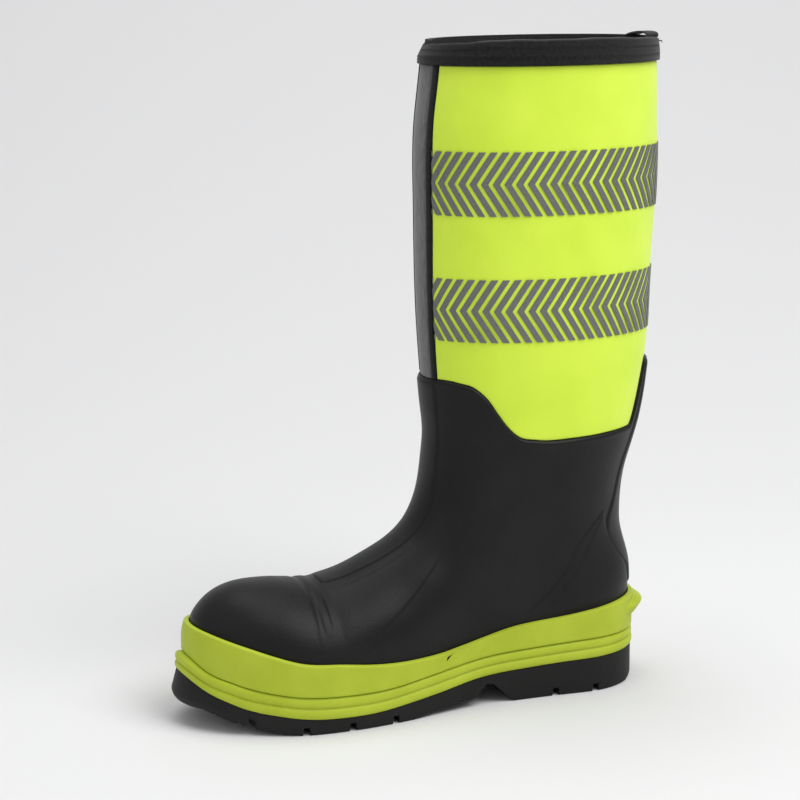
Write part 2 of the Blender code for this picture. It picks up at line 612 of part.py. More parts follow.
def heel_pieces():
    """The counter cover around the heel, and the stay that climbs the back to the rubber's top."""
    stay = 0.430
    wing = np.array([0.295, 0.315, 0.34, 0.36, 0.385, 0.402, 0.415, stay - 0.004])
    low = u_at_line(wing, rand_top_z, GAP)
    climb = through([0, 0.35, 0.65, 1], [0.58, 0.82, 0.94, 1], np.linspace(0, 1, len(wing)))
    high = u_at_height(wing, COUNTER_HEIGHT * climb)
    for name, flip in (("lateral_counter_cover", False), ("medial_counter_cover", True)):
        u = between(low, high, 7)
        v = np.broadcast_to(wing, u.shape)
        if flip:
            u, v = u[:, ::-1], (1 - v)[:, ::-1]
        shell(name, u, v, OVERLAY_IN, OVERLAY_IN + 0.8 * OVERLAY, BLACK_RUBBER)
    columns = np.array([stay, 0.465, 0.5, 0.535, 1 - stay])
    low = u_at_line(columns, rand_top_z, SPUR_HEIGHT * 0.5)
    high = u_at_height(columns, rubber_top(columns) - 0.0015)
    u = between(low, high, 14)
    shell("back_stay", u, np.broadcast_to(columns, u.shape), OVERLAY_IN, OVERLAY_IN + OVERLAY, BLACK_RUBBER)


# ------------------------------------------------------------------ sole
def rim(v, distance):
    """The sole edge in plan, moved outward by a distance, and its y before it was moved."""
    level = np.zeros_like(v)
    p = surface(level, v)
    along = surface(level, v + FINE_V) - surface(level, v - FINE_V)
    out = np.stack([along[..., 1], -along[..., 0]], -1)
    out /= np.linalg.norm(out, axis=-1, keepdims=True)
    base_y = p[..., 1].copy()
    p[..., :2] += out * np.asarray(distance)[..., None]
    return p, base_y


def toe_weight(v):
    """1 at the tip of the toe, 0 behind the ball."""
    return 1 - ease(0.0, 0.13, fold(v))


def rand_and_bumper():
    """The coloured rand that hugs the foot, and the two-ribbed bumper under it."""
    low = u_at_line(RAND_RING, groove_z, GAP)
    high = u_at_line(RAND_RING, rand_top_z)
    u = between(low, high, 4)
    v = np.broadcast_to(RAND_RING, u.shape)
    full = RAND * np.array([1, 1, 1, 0.75])[:, None]
    shell("rand", u, v, OVERLAY_IN + GAP, OVERLAY_IN + full, LIME, True)
    ring = np.arange(64) / 64
    reach = BUMPER_SIDE + (BUMPER_TOE - BUMPER_SIDE) * toe_weight(ring)
    inner = OVERLAY_IN + 2 * GAP
    section = [(None, 0), (-0.001, 0), (0, 0.14), (0, 0.40), (-BUMPER_GROOVE, 0.50),
               (-BUMPER_GROOVE * 0.3, 0.60), (-BUMPER_GROOVE * 0.3, 0.86), (-0.0022, 1), (None, 1)]
    loops = []
    for back_off, share in section:
        p, base_y = rim(ring, np.full(64, inner) if back_off is None else reach + back_off)
        low_z, high_z = sidewall_bottom_z(base_y) + GAP, groove_z(base_y) - 3 * GAP
        p[:, 2] = low_z + (high_z - low_z) * share
        loops.append(p)
    count = len(section)
    faces = []
    for i in range(count):
        k = (i + 1) % count
        for j in range(64):
            n = (j + 1) % 64
            faces.append((i * 64 + j, i * 64 + n, k * 64 + n, k * 64 + j))
    add("bumper", np.vstack(loops), faces, LIME)


def slab(name, distance, bottom, top, mat, v_span=(0.014, 0.486), rows=30, across=7, at_rim=True):
    """Plate inside the sole edge: lateral and medial rim points joined by straight rows.

    bottom and top are heights as functions of y, read at the sole edge that each row starts
    from, or at the row itself.  The distance may depend on v.
    """
    v = np.linspace(*v_span, rows)
    reach = distance(v) if callable(distance) else np.full(rows, distance)
    near, base_y = rim(v, reach)
    far = rim(1 - v, reach)[0]
    share = np.linspace(0, 1, across)[None, :, None]
    flat = near[:, None] * (1 - share) + far[:, None] * share
    low, high = flat.copy(), flat.copy()
    read_at = base_y[:, None] if at_rim else flat[..., 1]
    low[..., 2] = bottom(read_at)
    high[..., 2] = top(read_at)
    points = np.vstack([low.reshape(-1, 3), high.reshape(-1, 3)])
    return add(name, points, shell_faces(rows, across, False), mat)


def board_top(y):
    return feather_z(y) - GAP


def plate_top(y):
    return board_top(y) - BOARD - GAP


def filler_top(y):
    return plate_top(y) - PLATE - GAP


def cutter(name, size, place):
    """Box used only to cut other pieces."""
    x, y, z = (0.5 * s for s in size)
    points = [(sx * x + place[0], sy * y + place[1], sz * z + place[2])
              for sx in (-1, 1) for sy in (-1, 1) for sz in (-1, 1)]
    faces = [(0, 1, 3, 2), (4, 6, 7, 5), (0, 4, 5, 1), (2, 3, 7, 6), (0, 2, 6, 4), (1, 5, 7, 3)]
    obj = add(name, points, faces, FOAM_BLACK)
    obj.hide_render = True
    obj.display_type = "WIRE"
    return obj


def cut(target, tool):
    mod = target.modifiers.new(tool.name, "BOOLEAN")
    mod.operation = "DIFFERENCE"
    mod.object = tool


def tread():
    """The black outsole with cross grooves under the forefoot and the heel."""
    def reach(v):
        return OUTSOLE_SIDE + (TOE_WALL - OUTSOLE_SIDE) * toe_weight(v)

    sole = slab("outsole", reach, ground_z, sidewall_bottom_z, BLACK_RUBBER, rows=44, across=7)
    for name, share in (("toe_groove", -0.76), ("front_groove", -0.56), ("ball_groove", -0.37),
                        ("tread_groove", -0.18), ("heel_front_groove", 0.56), ("heel_back_groove", 0.74)):
        y = share * SOLE_LENGTH / 2
        level = float(ground_z(y)) + LUG_DEPTH - 0.010
        cut(sole, cutter(name, (0.2, LUG_GROOVE, 0.020), (0, y, level)))
    for name, low, high in (("forefoot_channel", -0.68, -0.06), ("heel_channel", 0.44, 0.86)):
        run = (high - low) * SOLE_LENGTH / 2
        place = (low + high) * SOLE_LENGTH / 4
        cut(sole, cutter(name, (LUG_GROOVE, run, 0.020), (0, place, LUG_DEPTH * 0.8 - 0.010)))


def inside_sole():
    """Insole board, steel plate, filler and shank, stacked between the upper and the outsole."""
    inset = OVERLAY_IN - 0.0008
    slab("insole_board", inset, lambda y: board_top(y) - BOARD, board_top, BOARD_FIBRE)
    slab("steel_midsole_plate", inset, lambda y: plate_top(y) - PLATE, plate_top, STEEL)
    filler = slab("midsole_filler", inset, lambda y: sidewall_bottom_z(y) + GAP, filler_top, FOAM_BLACK)
    shank_y = 0.155 * SOLE_LENGTH
    slot = (SHANK_WIDTH + 2 * GAP, SHANK_LENGTH + 2 * GAP, 0.06)
    cut(filler, cutter("shank_slot", slot, (0, shank_y, 0.02)))
    y = np.linspace(shank_y - SHANK_LENGTH / 2, shank_y + SHANK_LENGTH / 2, 12)
    grid = np.stack(np.broadcast_arrays(np.linspace(1, -1, 3)[None] * SHANK_WIDTH / 2, y[:, None], 0.0), -1)
    low, high = grid.copy(), grid.copy()
    high[..., 2] = (filler_top(y) - GAP)[:, None]
    low[..., 2] = high[..., 2] - SHANK
    points = np.vstack([low.reshape(-1, 3), high.reshape(-1, 3)])
    add("steel_shank", points, shell_faces(12, 3, False), STEEL)


def footbed():
    """Removable footbed that lies on the board inside the lining."""
    inner = LINING_OUT - LINING - FOOTBED_CLEARANCE

    def reach(v):
        return inner - (HIDDEN_ROOM + 0.006) * toe_weight(v) - HIDDEN_ROOM * ease(0.3, 0.42, v)

    def underside(y):
        return board_top(y) + GAP

    return slab("footbed", reach, underside, lambda y: underside(y) + FOOTBED, MESH_GREY,
                v_span=(0.03, 0.475), rows=24, at_rim=False)


def hard_parts():
    """Steel toe cap, its foam edge and the counter stiffener, between the rubber and the foam."""
    out = HIDDEN_OUT
    v_top = CAP_COLUMNS * 0.92
    cap_y = NOSE_Y + CAP_LENGTH
    top = u_at_station(v_top, cap_y)
    low = np.minimum(np.full(len(v_top), 0.012), top - 0.02)
    u = between(low, top, 9)
    shell("steel_toe_cap", u, np.broadcast_to(v_top, u.shape), out - STEEL_CAP, out, STEEL)
    start = u_at_station(v_top, cap_y + GAP)
    end = u_at_station(v_top, cap_y + CAP_EDGE_FOAM)
    u = between(start, end, 3)
    thin = np.array([1, 0.8, 0.45])[:, None]
    shell("cap_edge_foam", u, np.broadcast_to(v_top, u.shape), out - STEEL_CAP * thin, out, FOAM_BLACK)
    v = np.array([0.36, 0.385, 0.402, 0.415, 0.43, 0.465, 0.5, 0.535, 0.57, 0.585, 0.598, 0.615, 0.64])
    low = u_at_height(v, feather_z(np.full(len(v), BACK_Y)) + 0.003)
    high = u_at_height(v, STIFFENER_HEIGHT - 0.30 * (np.abs(v - 0.5) / 0.16) ** 3 * STIFFENER_HEIGHT)
    u = between(low, high, 6)
    shell("counter_stiffener", u, np.broadcast_to(v, u.shape), out - STIFFENER, out, BOARD_FIBRE)


def kick_off_spur():
    """Ledge at the top of the rand behind the heel, for pushing the boot off."""
    half = np.linspace(-1, 1, 11)
    inner = OVERLAY_IN + RAND + GAP
    base_z = float(rand_top_z(BACK_Y)) - SPUR_HEIGHT * 0.75
    loops = []
    for out_share, up_share in ((0, 0), (0.75, 0.35), (1, 0.62), (0.80, 0.80), (0, 1)):
        v = 0.5 + half * SPUR_WIDTH / (2 * math.pi * 0.5 * HEEL_WIDTH) * 0.42
        z = base_z + SPUR_HEIGHT * up_share
        u = u_at_height(v, np.full(v.shape, z))
        swell = np.cos(half * math.pi / 2) ** 0.7
        loops.append(layer(u, v, inner + SPUR_REACH * out_share * swell + 0.0006 * (out_share > 0)))
    rows, cols = len(loops), 11
    faces = []
    for i in range(rows):
        k = (i + 1) % rows
        for j in range(cols - 1):
            faces.append((i * cols + j, i * cols + j + 1, k * cols + j + 1, k * cols + j))
    faces += [tuple(i * cols for i in range(rows)),
              tuple(i * cols + cols - 1 for i in reversed(range(rows)))]
    add("kick_off_spur", np.vstack(loops), faces, LIME)


def centre_on_ground():
    """Move every mesh so that the origin is under the middle of the whole boot, on the ground."""
    solids = [obj for obj in bpy.data.objects if not obj.hide_render]
    corners = np.vstack([[tuple(v.co) for v in obj.data.vertices] for obj in solids])
    low, high = corners.min(0), corners.max(0)
    shift = Vector((-(low[0] + high[0]) / 2, -(low[1] + high[1]) / 2, -low[2]))
    for obj in bpy.data.objects:
        obj.data.transform(Matrix.Translation(shift))


def hinge_at_toe(obj):
    """Put the object's origin on its hinge line: the bottom edge of its front end."""
    corners = np.array([tuple(v.co) for v in obj.data.vertices])
    front = corners[corners[:, 1].argmin(), 1]
    edge = corners[corners[:, 1] < front + 0.0005]
    pivot = Vector((0, front, edge[:, 2].min()))
    obj.data.transform(Matrix.Translation(-pivot))
    obj.location = pivot


def clear():
    for obj in list(bpy.data.objects):
        bpy.data.objects.remove(obj)


clear()
inner_layers()
shaft()
collar_binding()
pull_loop()
rubber_foot()
overlays()
rand_and_bumper()
tread()
inside_sole()
loose_footbed = footbed()
hard_parts()
kick_off_spur()
centre_on_ground()
hinge_at_toe(loose_footbed)
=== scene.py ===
# %% [markdown]
# # A tall fire boot in Blender
#
# This lesson dresses the plain solid model of a fire boot: a yellow shaft with two reflective
# bands, a black rubber foot, a lime rand and bumper, and a lugged sole.  The solid model is brought
# in from model.glb.  Everything that shows is then made again as a finer surface.

# %% Load the frame
import math
import bmesh
import bpy
import numpy as np
from mathutils import Matrix, Vector


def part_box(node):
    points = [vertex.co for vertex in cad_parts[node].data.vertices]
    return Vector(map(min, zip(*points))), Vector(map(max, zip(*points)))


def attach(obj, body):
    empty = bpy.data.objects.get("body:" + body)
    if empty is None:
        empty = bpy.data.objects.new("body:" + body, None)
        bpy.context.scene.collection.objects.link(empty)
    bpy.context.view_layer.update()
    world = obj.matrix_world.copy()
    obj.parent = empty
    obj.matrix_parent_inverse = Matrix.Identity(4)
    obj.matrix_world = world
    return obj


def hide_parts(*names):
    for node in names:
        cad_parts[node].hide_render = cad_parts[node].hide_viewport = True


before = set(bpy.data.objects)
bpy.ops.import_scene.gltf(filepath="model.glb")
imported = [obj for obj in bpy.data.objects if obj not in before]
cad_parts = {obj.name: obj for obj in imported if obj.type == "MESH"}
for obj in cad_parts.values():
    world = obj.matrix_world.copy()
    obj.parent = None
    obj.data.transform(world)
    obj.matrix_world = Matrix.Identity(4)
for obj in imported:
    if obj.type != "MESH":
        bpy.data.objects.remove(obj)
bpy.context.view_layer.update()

# %% [markdown]
# ## Where the boot stands
#
# The design is written about the middle of the sole, while the frame's origin is under the middle
# of the whole outline.  The steel shank lies at a known place in the design, so the difference
# between the two is read from it and added to every point.

# %% Read the shift between the design and the frame
SOLE_LENGTH = 0.300
BOOT_HEIGHT = 0.4065
shank = np.array(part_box("steel_shank")).mean(axis=0)
SHIFT = np.array([shank[0], shank[1] - 0.155 * SOLE_LENGTH, 0.0])
print("shift, in mm:", np.round(SHIFT * 1000, 2))

# %% [markdown]
# ## The camera
#
# A long lens, a little above the ankle and a little in front of the boot's outer side.  The camera
# leans by half a degree, as a hand-held one does.  Its place is set by an angle, a height angle and
# a distance from a target, which are easier to adjust than three coordinates.

# %% Place the camera
def camera_matrix(target, around, above, distance, lean):
    """Camera-to-world matrix: its z axis points back from the target to the camera, its x axis is
    level before it is leaned, and its y axis is square to both."""
    back = Vector((math.cos(around) * math.cos(above), -math.sin(around) * math.cos(above),
                   math.sin(above)))
    right = Vector((0, 0, 1)).cross(back).normalized()
    up = back.cross(right)
    leaned_right = right * math.cos(lean) + up * math.sin(lean)
    leaned_up = up * math.cos(lean) - right * math.sin(lean)
    turned = Matrix((leaned_right, leaned_up, back)).transposed().to_4x4()
    return Matrix.Translation(Vector(target) + back * distance) @ turned


CAMERA_AROUND = math.radians(20.95)
CAMERA_ABOVE = math.radians(11.23)
CAMERA_LEAN = math.radians(-0.49)
CAMERA_DISTANCE = 1.4033
camera_data = bpy.data.cameras.new("camera")
camera_data.lens = 103.3
camera_data.sensor_width = 36.0
camera_object = bpy.data.objects.new("camera", camera_data)
target = SHIFT + (0.0, -0.00356, 0.188)
camera_object.matrix_world = camera_matrix(target, CAMERA_AROUND, CAMERA_ABOVE, CAMERA_DISTANCE,
                                           CAMERA_LEAN)
bpy.context.collection.objects.link(camera_object)
bpy.context.scene.camera = camera_object
print("camera at, in mm:", np.round(np.array(camera_object.location) * 1000))

# %% [markdown]
# ## Smooth curves from a few values
#
# A boot's outline has no flat or round parts that a primitive could give.  Each outline is a smooth
# curve through a handful of chosen values instead.  Neighbouring cubic pieces share their slopes,
# so the curve has no corner, and it swings past its values less than a free spline does.

# %% Helpers for curves
def through(stations, values, at):
    """Smooth curve through values at stations: cubic pieces whose end slopes are shared."""
    t = np.asarray(stations, float)
    x = np.asarray(values, float).reshape(len(t), -1)
    q = np.clip(np.asarray(at, float), t[0], t[-1])
    step = np.diff(t)[:, None]
    slope = np.diff(x, axis=0) / step
    shared = (slope[:-1] * step[1:] + slope[1:] * step[:-1]) / (step[1:] + step[:-1])
    m = np.vstack([slope[:1], shared, slope[-1:]])
    i = np.clip(np.searchsorted(t, q, side="right") - 1, 0, len(t) - 2)
    w = ((q - t[i]) / step[i, 0])[..., None]
    h = step[i]
    low = (2 * w**3 - 3 * w**2 + 1) * x[i] + (w**3 - 2 * w**2 + w) * h * m[i]
    high = (3 * w**2 - 2 * w**3) * x[i + 1] + (w**3 - w**2) * h * m[i + 1]
    out = low + high
    return out[..., 0] if np.ndim(values) == 1 else out


def line_through(points, count=480):
    """Polyline of count points, evenly spaced along the smooth curve through the points."""
    p = np.asarray(points, float)
    run = np.r_[0.0, np.cumsum(np.hypot(*np.diff(p, axis=0).T))]
    return through(run, p, np.linspace(0, run[-1], count))


def even(points, count):
    """The same polyline with count points, spaced evenly along its length."""
    run = np.r_[0.0, np.cumsum(np.hypot(*np.diff(points, axis=0).T))]
    at = np.linspace(0, run[-1], count)
    return np.stack([np.interp(at, run, points[:, 0]), np.interp(at, run, points[:, 1])], 1)


def ease(low, high, x):
    """0 below low, 1 above high, with a smooth S between."""
    t = np.clip((x - low) / (high - low), 0, 1)
    return t * t * (3 - 2 * t)


def nearest(y, z, line):
    """Distance from each (y, z) to a polyline, and the height of the nearest point on it."""
    a, b = line[:-1], line[1:]
    ab = b - a
    p = np.stack([y, z], -1).reshape(-1, 1, 2)
    t = np.clip(((p - a) * ab).sum(2) / (ab * ab).sum(1), 0, 1)
    foot = a + t[..., None] * ab
    gap = np.hypot(p[..., 0] - foot[..., 0], p[..., 1] - foot[..., 1])
    best = gap.argmin(1)
    rows = np.arange(len(best))
    return gap[rows, best].reshape(np.shape(y)), foot[rows, best, 1].reshape(np.shape(y))


# %% [markdown]
# ## The side view
#
# Seen from the side, the boot has a top line that runs over the toe, up the instep and the shin,
# and a back line that runs up the heel and the calf.  Both are drawn in the plane of y and z.

# %% Draw the top line and the back line
TOE_Y = -SOLE_LENGTH / 2
NOSE_Y = TOE_Y + 0.012
BACK_Y = SOLE_LENGTH / 2 - 0.004
CALF_Y = BACK_Y + 0.018
SHIN_Y = CALF_Y - 0.1545
FRONT_RUN = SHIN_Y - NOSE_Y
TOE_BOX_HEIGHT = 0.083
RUBBER_FRONT_TOP = 0.201
RUBBER_SIDE_TOP = 0.165
RUBBER_BACK_TOP = 0.207


def shaft_z(part):
    """Height of a point at this share of the way from the rubber's front edge to the rim."""
    return RUBBER_FRONT_TOP + part * (BOOT_HEIGHT - RUBBER_FRONT_TOP)


TOP_LINE = line_through([
    (NOSE_Y - 0.052, TOE_BOX_HEIGHT + 0.009), (NOSE_Y - 0.012, TOE_BOX_HEIGHT + 0.008),
    (NOSE_Y + 0.12 * FRONT_RUN, TOE_BOX_HEIGHT + 0.007), (NOSE_Y + 0.33 * FRONT_RUN, TOE_BOX_HEIGHT),
    (NOSE_Y + 0.50 * FRONT_RUN, TOE_BOX_HEIGHT - 0.0035),
    (NOSE_Y + 0.75 * FRONT_RUN, TOE_BOX_HEIGHT + 0.0075),
    (NOSE_Y + 0.95 * FRONT_RUN, TOE_BOX_HEIGHT + 0.0275), (SHIN_Y + 0.0060, 0.160),
    (SHIN_Y + 0.0030, shaft_z(0)), (SHIN_Y + 0.0010, shaft_z(0.14)), (SHIN_Y - 0.0005, shaft_z(0.48)),
    (SHIN_Y, shaft_z(0.73)), (SHIN_Y + 0.0045, shaft_z(0.92)), (SHIN_Y + 0.0062, shaft_z(1))])
BACK_LINE = line_through([
    (BACK_Y - 0.001, 0.010), (BACK_Y, 0.040), (BACK_Y, 0.075), (BACK_Y - 0.0065, 0.105),
    (BACK_Y - 0.0040, 0.135), (BACK_Y + 0.0070, 0.170), (BACK_Y + 0.0120, shaft_z(0)),
    (BACK_Y + 0.0155, shaft_z(0.29)), (CALF_Y + 0.001, shaft_z(0.58)), (CALF_Y, shaft_z(0.92)),
    (CALF_Y - 0.001, shaft_z(1))])
print("top line", len(TOP_LINE), "points, back line", len(BACK_LINE), "points")

# %% [markdown]
# ## Heights along the sole
#
# The sole's edges are curves too: each gives a height for every place between the tip of the toe
# (station -1) and the back of the heel (station 1).

# %% Heights of the sole's edges
def station(y):
    """-1 at the tip of the toe, 1 at the back of the heel."""
    return y / (SOLE_LENGTH / 2)


def feather_z(y):
    """Height of the upper's bottom edge, which follows the last's toe spring and heel lift."""
    return through([-0.92, -0.885, -0.80, -0.63, -0.32, 0, 0.2, 0.4, 0.73, 1],
                   [0.0375, 0.0320, 0.0265, 0.0210, 0.0175, 0.0215, 0.0255, 0.0278, 0.0297, 0.030],
                   station(y))


def sidewall_bottom_z(y):
    """Where the coloured bumper meets the black outsole."""
    return through([-0.92, -0.885, -0.80, -0.63, -0.32, 0, 0.2, 0.47, 0.73, 1],
                   [0.0320, 0.0262, 0.0185, 0.0118, 0.0087, 0.0135, 0.0181, 0.0205, 0.022, 0.0226],
                   station(y))


def groove_z(y):
    """The groove between the bumper and the rand."""
    return through([-0.92, -0.885, -0.80, -0.63, -0.36, -0.19, 0, 0.22, 0.52, 0.75, 1],
                   [0.0424, 0.0368, 0.0312, 0.0250, 0.0220, 0.0225, 0.0263, 0.0305, 0.0330, 0.0345, 0.0340],
                   station(y))


def rand_top_z(y):
    """The rand's upper edge."""
    return through([-1, -0.93, -0.77, -0.67, -0.57, -0.41, -0.12, 0.03, 0.21, 0.36, 0.62, 0.85, 1],
                   [0.0610, 0.0600, 0.0535, 0.0485, 0.0440, 0.0413, 0.0373, 0.0383, 0.0426, 0.0472,
                    0.0510, 0.0555, 0.0570], station(y))


def ground_z(y):
    """The outsole's underside: toe spring, flat tread, arch, heel breast, flat heel."""
    run = [-0.92, -0.82, -0.70, -0.58, -0.10, 0, 0.20, 0.245, 0.275, 0.37, 0.92, 0.973]
    rise = [0.012, 0.0065, 0.0022, 0, 0, 0.003, 0.0055, 0.013, 0.013, 0, 0, 0.0025]
    return np.interp(station(y), run, rise)


# %% [markdown]
# ## Widths
#
# The width at a point of the side view is a full width, which changes along the foot and up the
# shaft, times a rounding that falls to nothing at the nose, the top line and the back line.  The
# rounding is the square root of one minus a power of the distance, as in an ellipse.

# %% Widths and roundings
SHAFT_DEPTH = 0.1545
TOE_ROUNDING = 0.072
TOE_TOP_ROUNDING = 0.042
HEEL_ROUNDING = 0.040


def foot_half(y):
    """Half the upper's width at the sole edge, before the toe and the heel are rounded."""
    return through([-1, -0.73, -0.50, -0.32, -0.07, 0.20, 0.47, 0.73, 1],
                   [0.0440, 0.0480, 0.0500, 0.0485, 0.0415, 0.0350, 0.0350, 0.0370, 0.0375], station(y))


def shaft_half(z):
    """Half the shaft's width at height z."""
    return through([0, 0.060, 0.110, 0.160, shaft_z(0.05), shaft_z(0.48), shaft_z(1)],
                   [0.037, 0.037, 0.041, 0.045, 0.04975, 0.05175, 0.05325], z)


def fullness(y, z):
    """Share of the full width at (y, z): 1 minus the front's, the top's and the back's roundings."""
    top_gap, top_at = nearest(y, z, TOP_LINE)
    back_gap, back_at = nearest(y, z, BACK_LINE)
    half_depth = 0.485 * SHAFT_DEPTH
    top_round = TOE_TOP_ROUNDING + (half_depth - TOE_TOP_ROUNDING) * ease(0.085, 0.230, top_at)
    back_round = HEEL_ROUNDING + (half_depth - HEEL_ROUNDING) * ease(0.060, 0.220, back_at)
    nose = 1 - np.clip((y - NOSE_Y) / TOE_ROUNDING, 0, 1)
    top = 1 - np.clip(top_gap / top_round, 0, 1)
    back = 1 - np.clip(back_gap / back_round, 0, 1)
    return 1 - nose**2.3 - top**2, 1 - back**2


def front_edge():
    """The front of the side view: up the nose, over the cap along fullness 0, up the shin."""
    corner_y = NOSE_Y + TOE_ROUNDING
    corner_z = np.interp(corner_y, TOP_LINE[:, 0], TOP_LINE[:, 1]) - TOE_TOP_ROUNDING
    turn = np.linspace(0, math.pi / 2, 48)
    dy, dz = -np.cos(turn) * TOE_ROUNDING, np.sin(turn) * TOE_TOP_ROUNDING
    low, high = np.full(48, 0.5), np.full(48, 1.6)
    for _ in range(32):
        mid = (low + high) / 2
        y, z = corner_y + dy * mid, corner_z + dz * mid
        over = z > np.interp(y, TOP_LINE[:, 0], TOP_LINE[:, 1])
        outside = (fullness(y, z)[0] < 0) | (y < NOSE_Y) | over
        high = np.where(outside, mid, high)
        low = np.where(outside, low, mid)
    cap = np.stack([corner_y + dy * low, corner_z + dz * low], 1)
    shin = TOP_LINE[TOP_LINE[:, 0] > cap[-1, 0] + 0.0005]
    return even(np.vstack([[(NOSE_Y, feather_z(NOSE_Y))], cap, shin]), 400)


FRONT_EDGE = front_edge()
BACK_EDGE = even(BACK_LINE[BACK_LINE[:, 1] > feather_z(BACK_Y)], 400)
print("front edge from", np.round(FRONT_EDGE[0] * 1000), "to", np.round(FRONT_EDGE[-1] * 1000))

# %% [markdown]
# ## The boot as one surface
#
# The upper is one surface of two parameters.  u climbs from the sole edge (0) to the collar (1), and
# v goes round: 0 down the front, 0.25 on the outer side, 0.5 down the back, 0.75 on the inner side.
# The formula is evaluated once on a table of points.  After that any point is read from the table
# with cubic weights, which is fast and keeps fine meshes smooth.

# %% The surface formula and its table
def side_place(u, v):
    """(y, z) of the surface: a ring that drops from the front edge and runs to the back edge."""
    at = np.linspace(0, 1, 400)
    knots = [0, 0.06, 0.12, 0.18, 0.24, 0.30, 0.40, 0.50, 0.60, 1]
    rise = through(knots, [0, 0.02, 0.03, 0.04, 0.053, 0.073, 0.147, 0.29, 0.45, 1], u)
    front = np.stack([np.interp(u, at, FRONT_EDGE[:, 0]), np.interp(u, at, FRONT_EDGE[:, 1])], -1)
    back = np.stack([np.interp(rise, at, BACK_EDGE[:, 0]), np.interp(rise, at, BACK_EDGE[:, 1])], -1)
    s = (1 - np.cos(2 * math.pi * v)) / 2
    drop = through(knots, [1, 1.7, 3.0, 4.3, 4.3, 4.3, 2.2, 1.15, 1, 1], u)
    y = front[..., 0] * (1 - s) + back[..., 0] * s
    z = back[..., 1] + (front[..., 1] - back[..., 1]) * (1 - s) ** drop
    flat = NOSE_Y * (1 - s) + BACK_Y * s
    chord = feather_z(NOSE_Y) * (1 - s) + feather_z(BACK_Y) * s
    return y, z + (feather_z(flat) - chord) * (1 - np.clip(u / 0.3, 0, 1)) ** 1.5


def outline_points(u, v):
    """Full formula: side view place, then half width = full width x root of the roundings."""
    y, z = side_place(u, v)
    front, back = fullness(y, z)
    share = ease(0.050, 0.150, z)
    width = foot_half(y) * (1 - share) + shaft_half(z) * share
    half = width * np.sqrt(np.clip(front, 0, None) * np.clip(back, 0, None))
    side = np.sin(2 * math.pi * v)
    side = np.where(np.abs(side) < 1e-9, 0, np.sign(side))
    lean = through([-1, -0.5, 0, 0.4, 1], [-0.006, -0.0012, 0.0024, 0, 0], station(y))
    return np.stack([lean * (1 - ease(0.060, 0.140, z)) + side * half, y, z], -1)


TABLE_ROWS = 201
TABLE_COLUMNS = 96
table_u = np.linspace(0, 1, TABLE_ROWS)[:, None]
table_v = np.arange(TABLE_COLUMNS)[None] / TABLE_COLUMNS
TABLE = outline_points(*np.broadcast_arrays(table_u, table_v))
TABLE = np.concatenate([2 * TABLE[:1] - TABLE[1:2], TABLE, 2 * TABLE[-1:] - TABLE[-2:-1]])
print("table of", TABLE.shape[0] * TABLE.shape[1], "points")


def four_weights(t):
    """Shares of the four neighbours at t between the middle two: the Catmull-Rom cubic."""
    return np.stack([((2 - t) * t - 1) * t, (3 * t - 5) * t * t + 2, ((4 - 3 * t) * t + 1) * t,
                     (t - 1) * t * t], -1) / 2


def surface(u, v):
    """Points of the outer surface, read from the table with cubic weights both ways."""
    u, v = np.broadcast_arrays(np.asarray(u, float), np.asarray(v, float))
    row = np.clip(u, 0, 1) * (TABLE_ROWS - 1)
    column = np.mod(v, 1.0) * TABLE_COLUMNS
    i = np.minimum(row.astype(int), TABLE_ROWS - 2)
    j = column.astype(int)
    down, along = four_weights(row - i), four_weights(column - j)
    rows = i[..., None] + np.arange(4)
    columns = np.mod(j[..., None] + np.arange(-1, 3), TABLE_COLUMNS)
    patch = TABLE[rows[..., :, None], columns[..., None, :]]
    return np.einsum("...i,...j,...ijk->...k", down, along, patch)


def layer(u, v, distance):
    """Points at a distance outside the surface: point + distance x unit normal, where the normal
    is the cross product of a step round the boot and a step up it."""
    u, v = np.broadcast_arrays(np.asarray(u, float), np.asarray(v, float))
    along = surface(u, v + 0.006) - surface(u, v - 0.006)
    up = surface(u + 0.003, v) - surface(u - 0.003, v)
    normal = np.cross(along, up)
    normal /= np.linalg.norm(normal, axis=-1, keepdims=True)
    return surface(u, v) + normal * np.asarray(distance)[..., None]


# %% [markdown]
# ## Finding edges on the surface
#
# An edge such as the rubber's top is known as a height, or as a line in the side view, and the grids
# need it as a u for each v.  Halving an interval 22 times finds it to under a micrometre.

# %% Solve for edges
def solve_u(v, below, low=0.0, high=1.0):
    """For each v, the u where below(points) turns from true to false, by halving."""
    v = np.asarray(v, float)
    low, high = np.full(v.shape, low), np.full(v.shape, high)
    for _ in range(22):
        mid = (low + high) / 2
        under = below(surface(mid, v))
        low = np.where(under, mid, low)
        high = np.where(under, high, mid)
    return (low + high) / 2


def u_at_height(v, height):
    """u where the surface reaches a height, which may be one value for each v."""
    return solve_u(v, lambda p: p[..., 2] < height)


def u_at_line(v, line, shift=0.0):
    """u where the surface reaches a line z = line(y) + shift."""
    return solve_u(v, lambda p: p[..., 2] < line(p[..., 1]) + shift, 0.0, 0.6)


def u_at_station(v, y):
    """u where the surface, going up over the cap, passes y."""
    return solve_u(v, lambda p: p[..., 1] < y, 0.0, 0.32)


def fold(v):
    """v folded onto the lateral half: 0 at the front, 0.5 at the back."""
    v = np.mod(v, 1.0)
    return np.minimum(v, 1 - v)


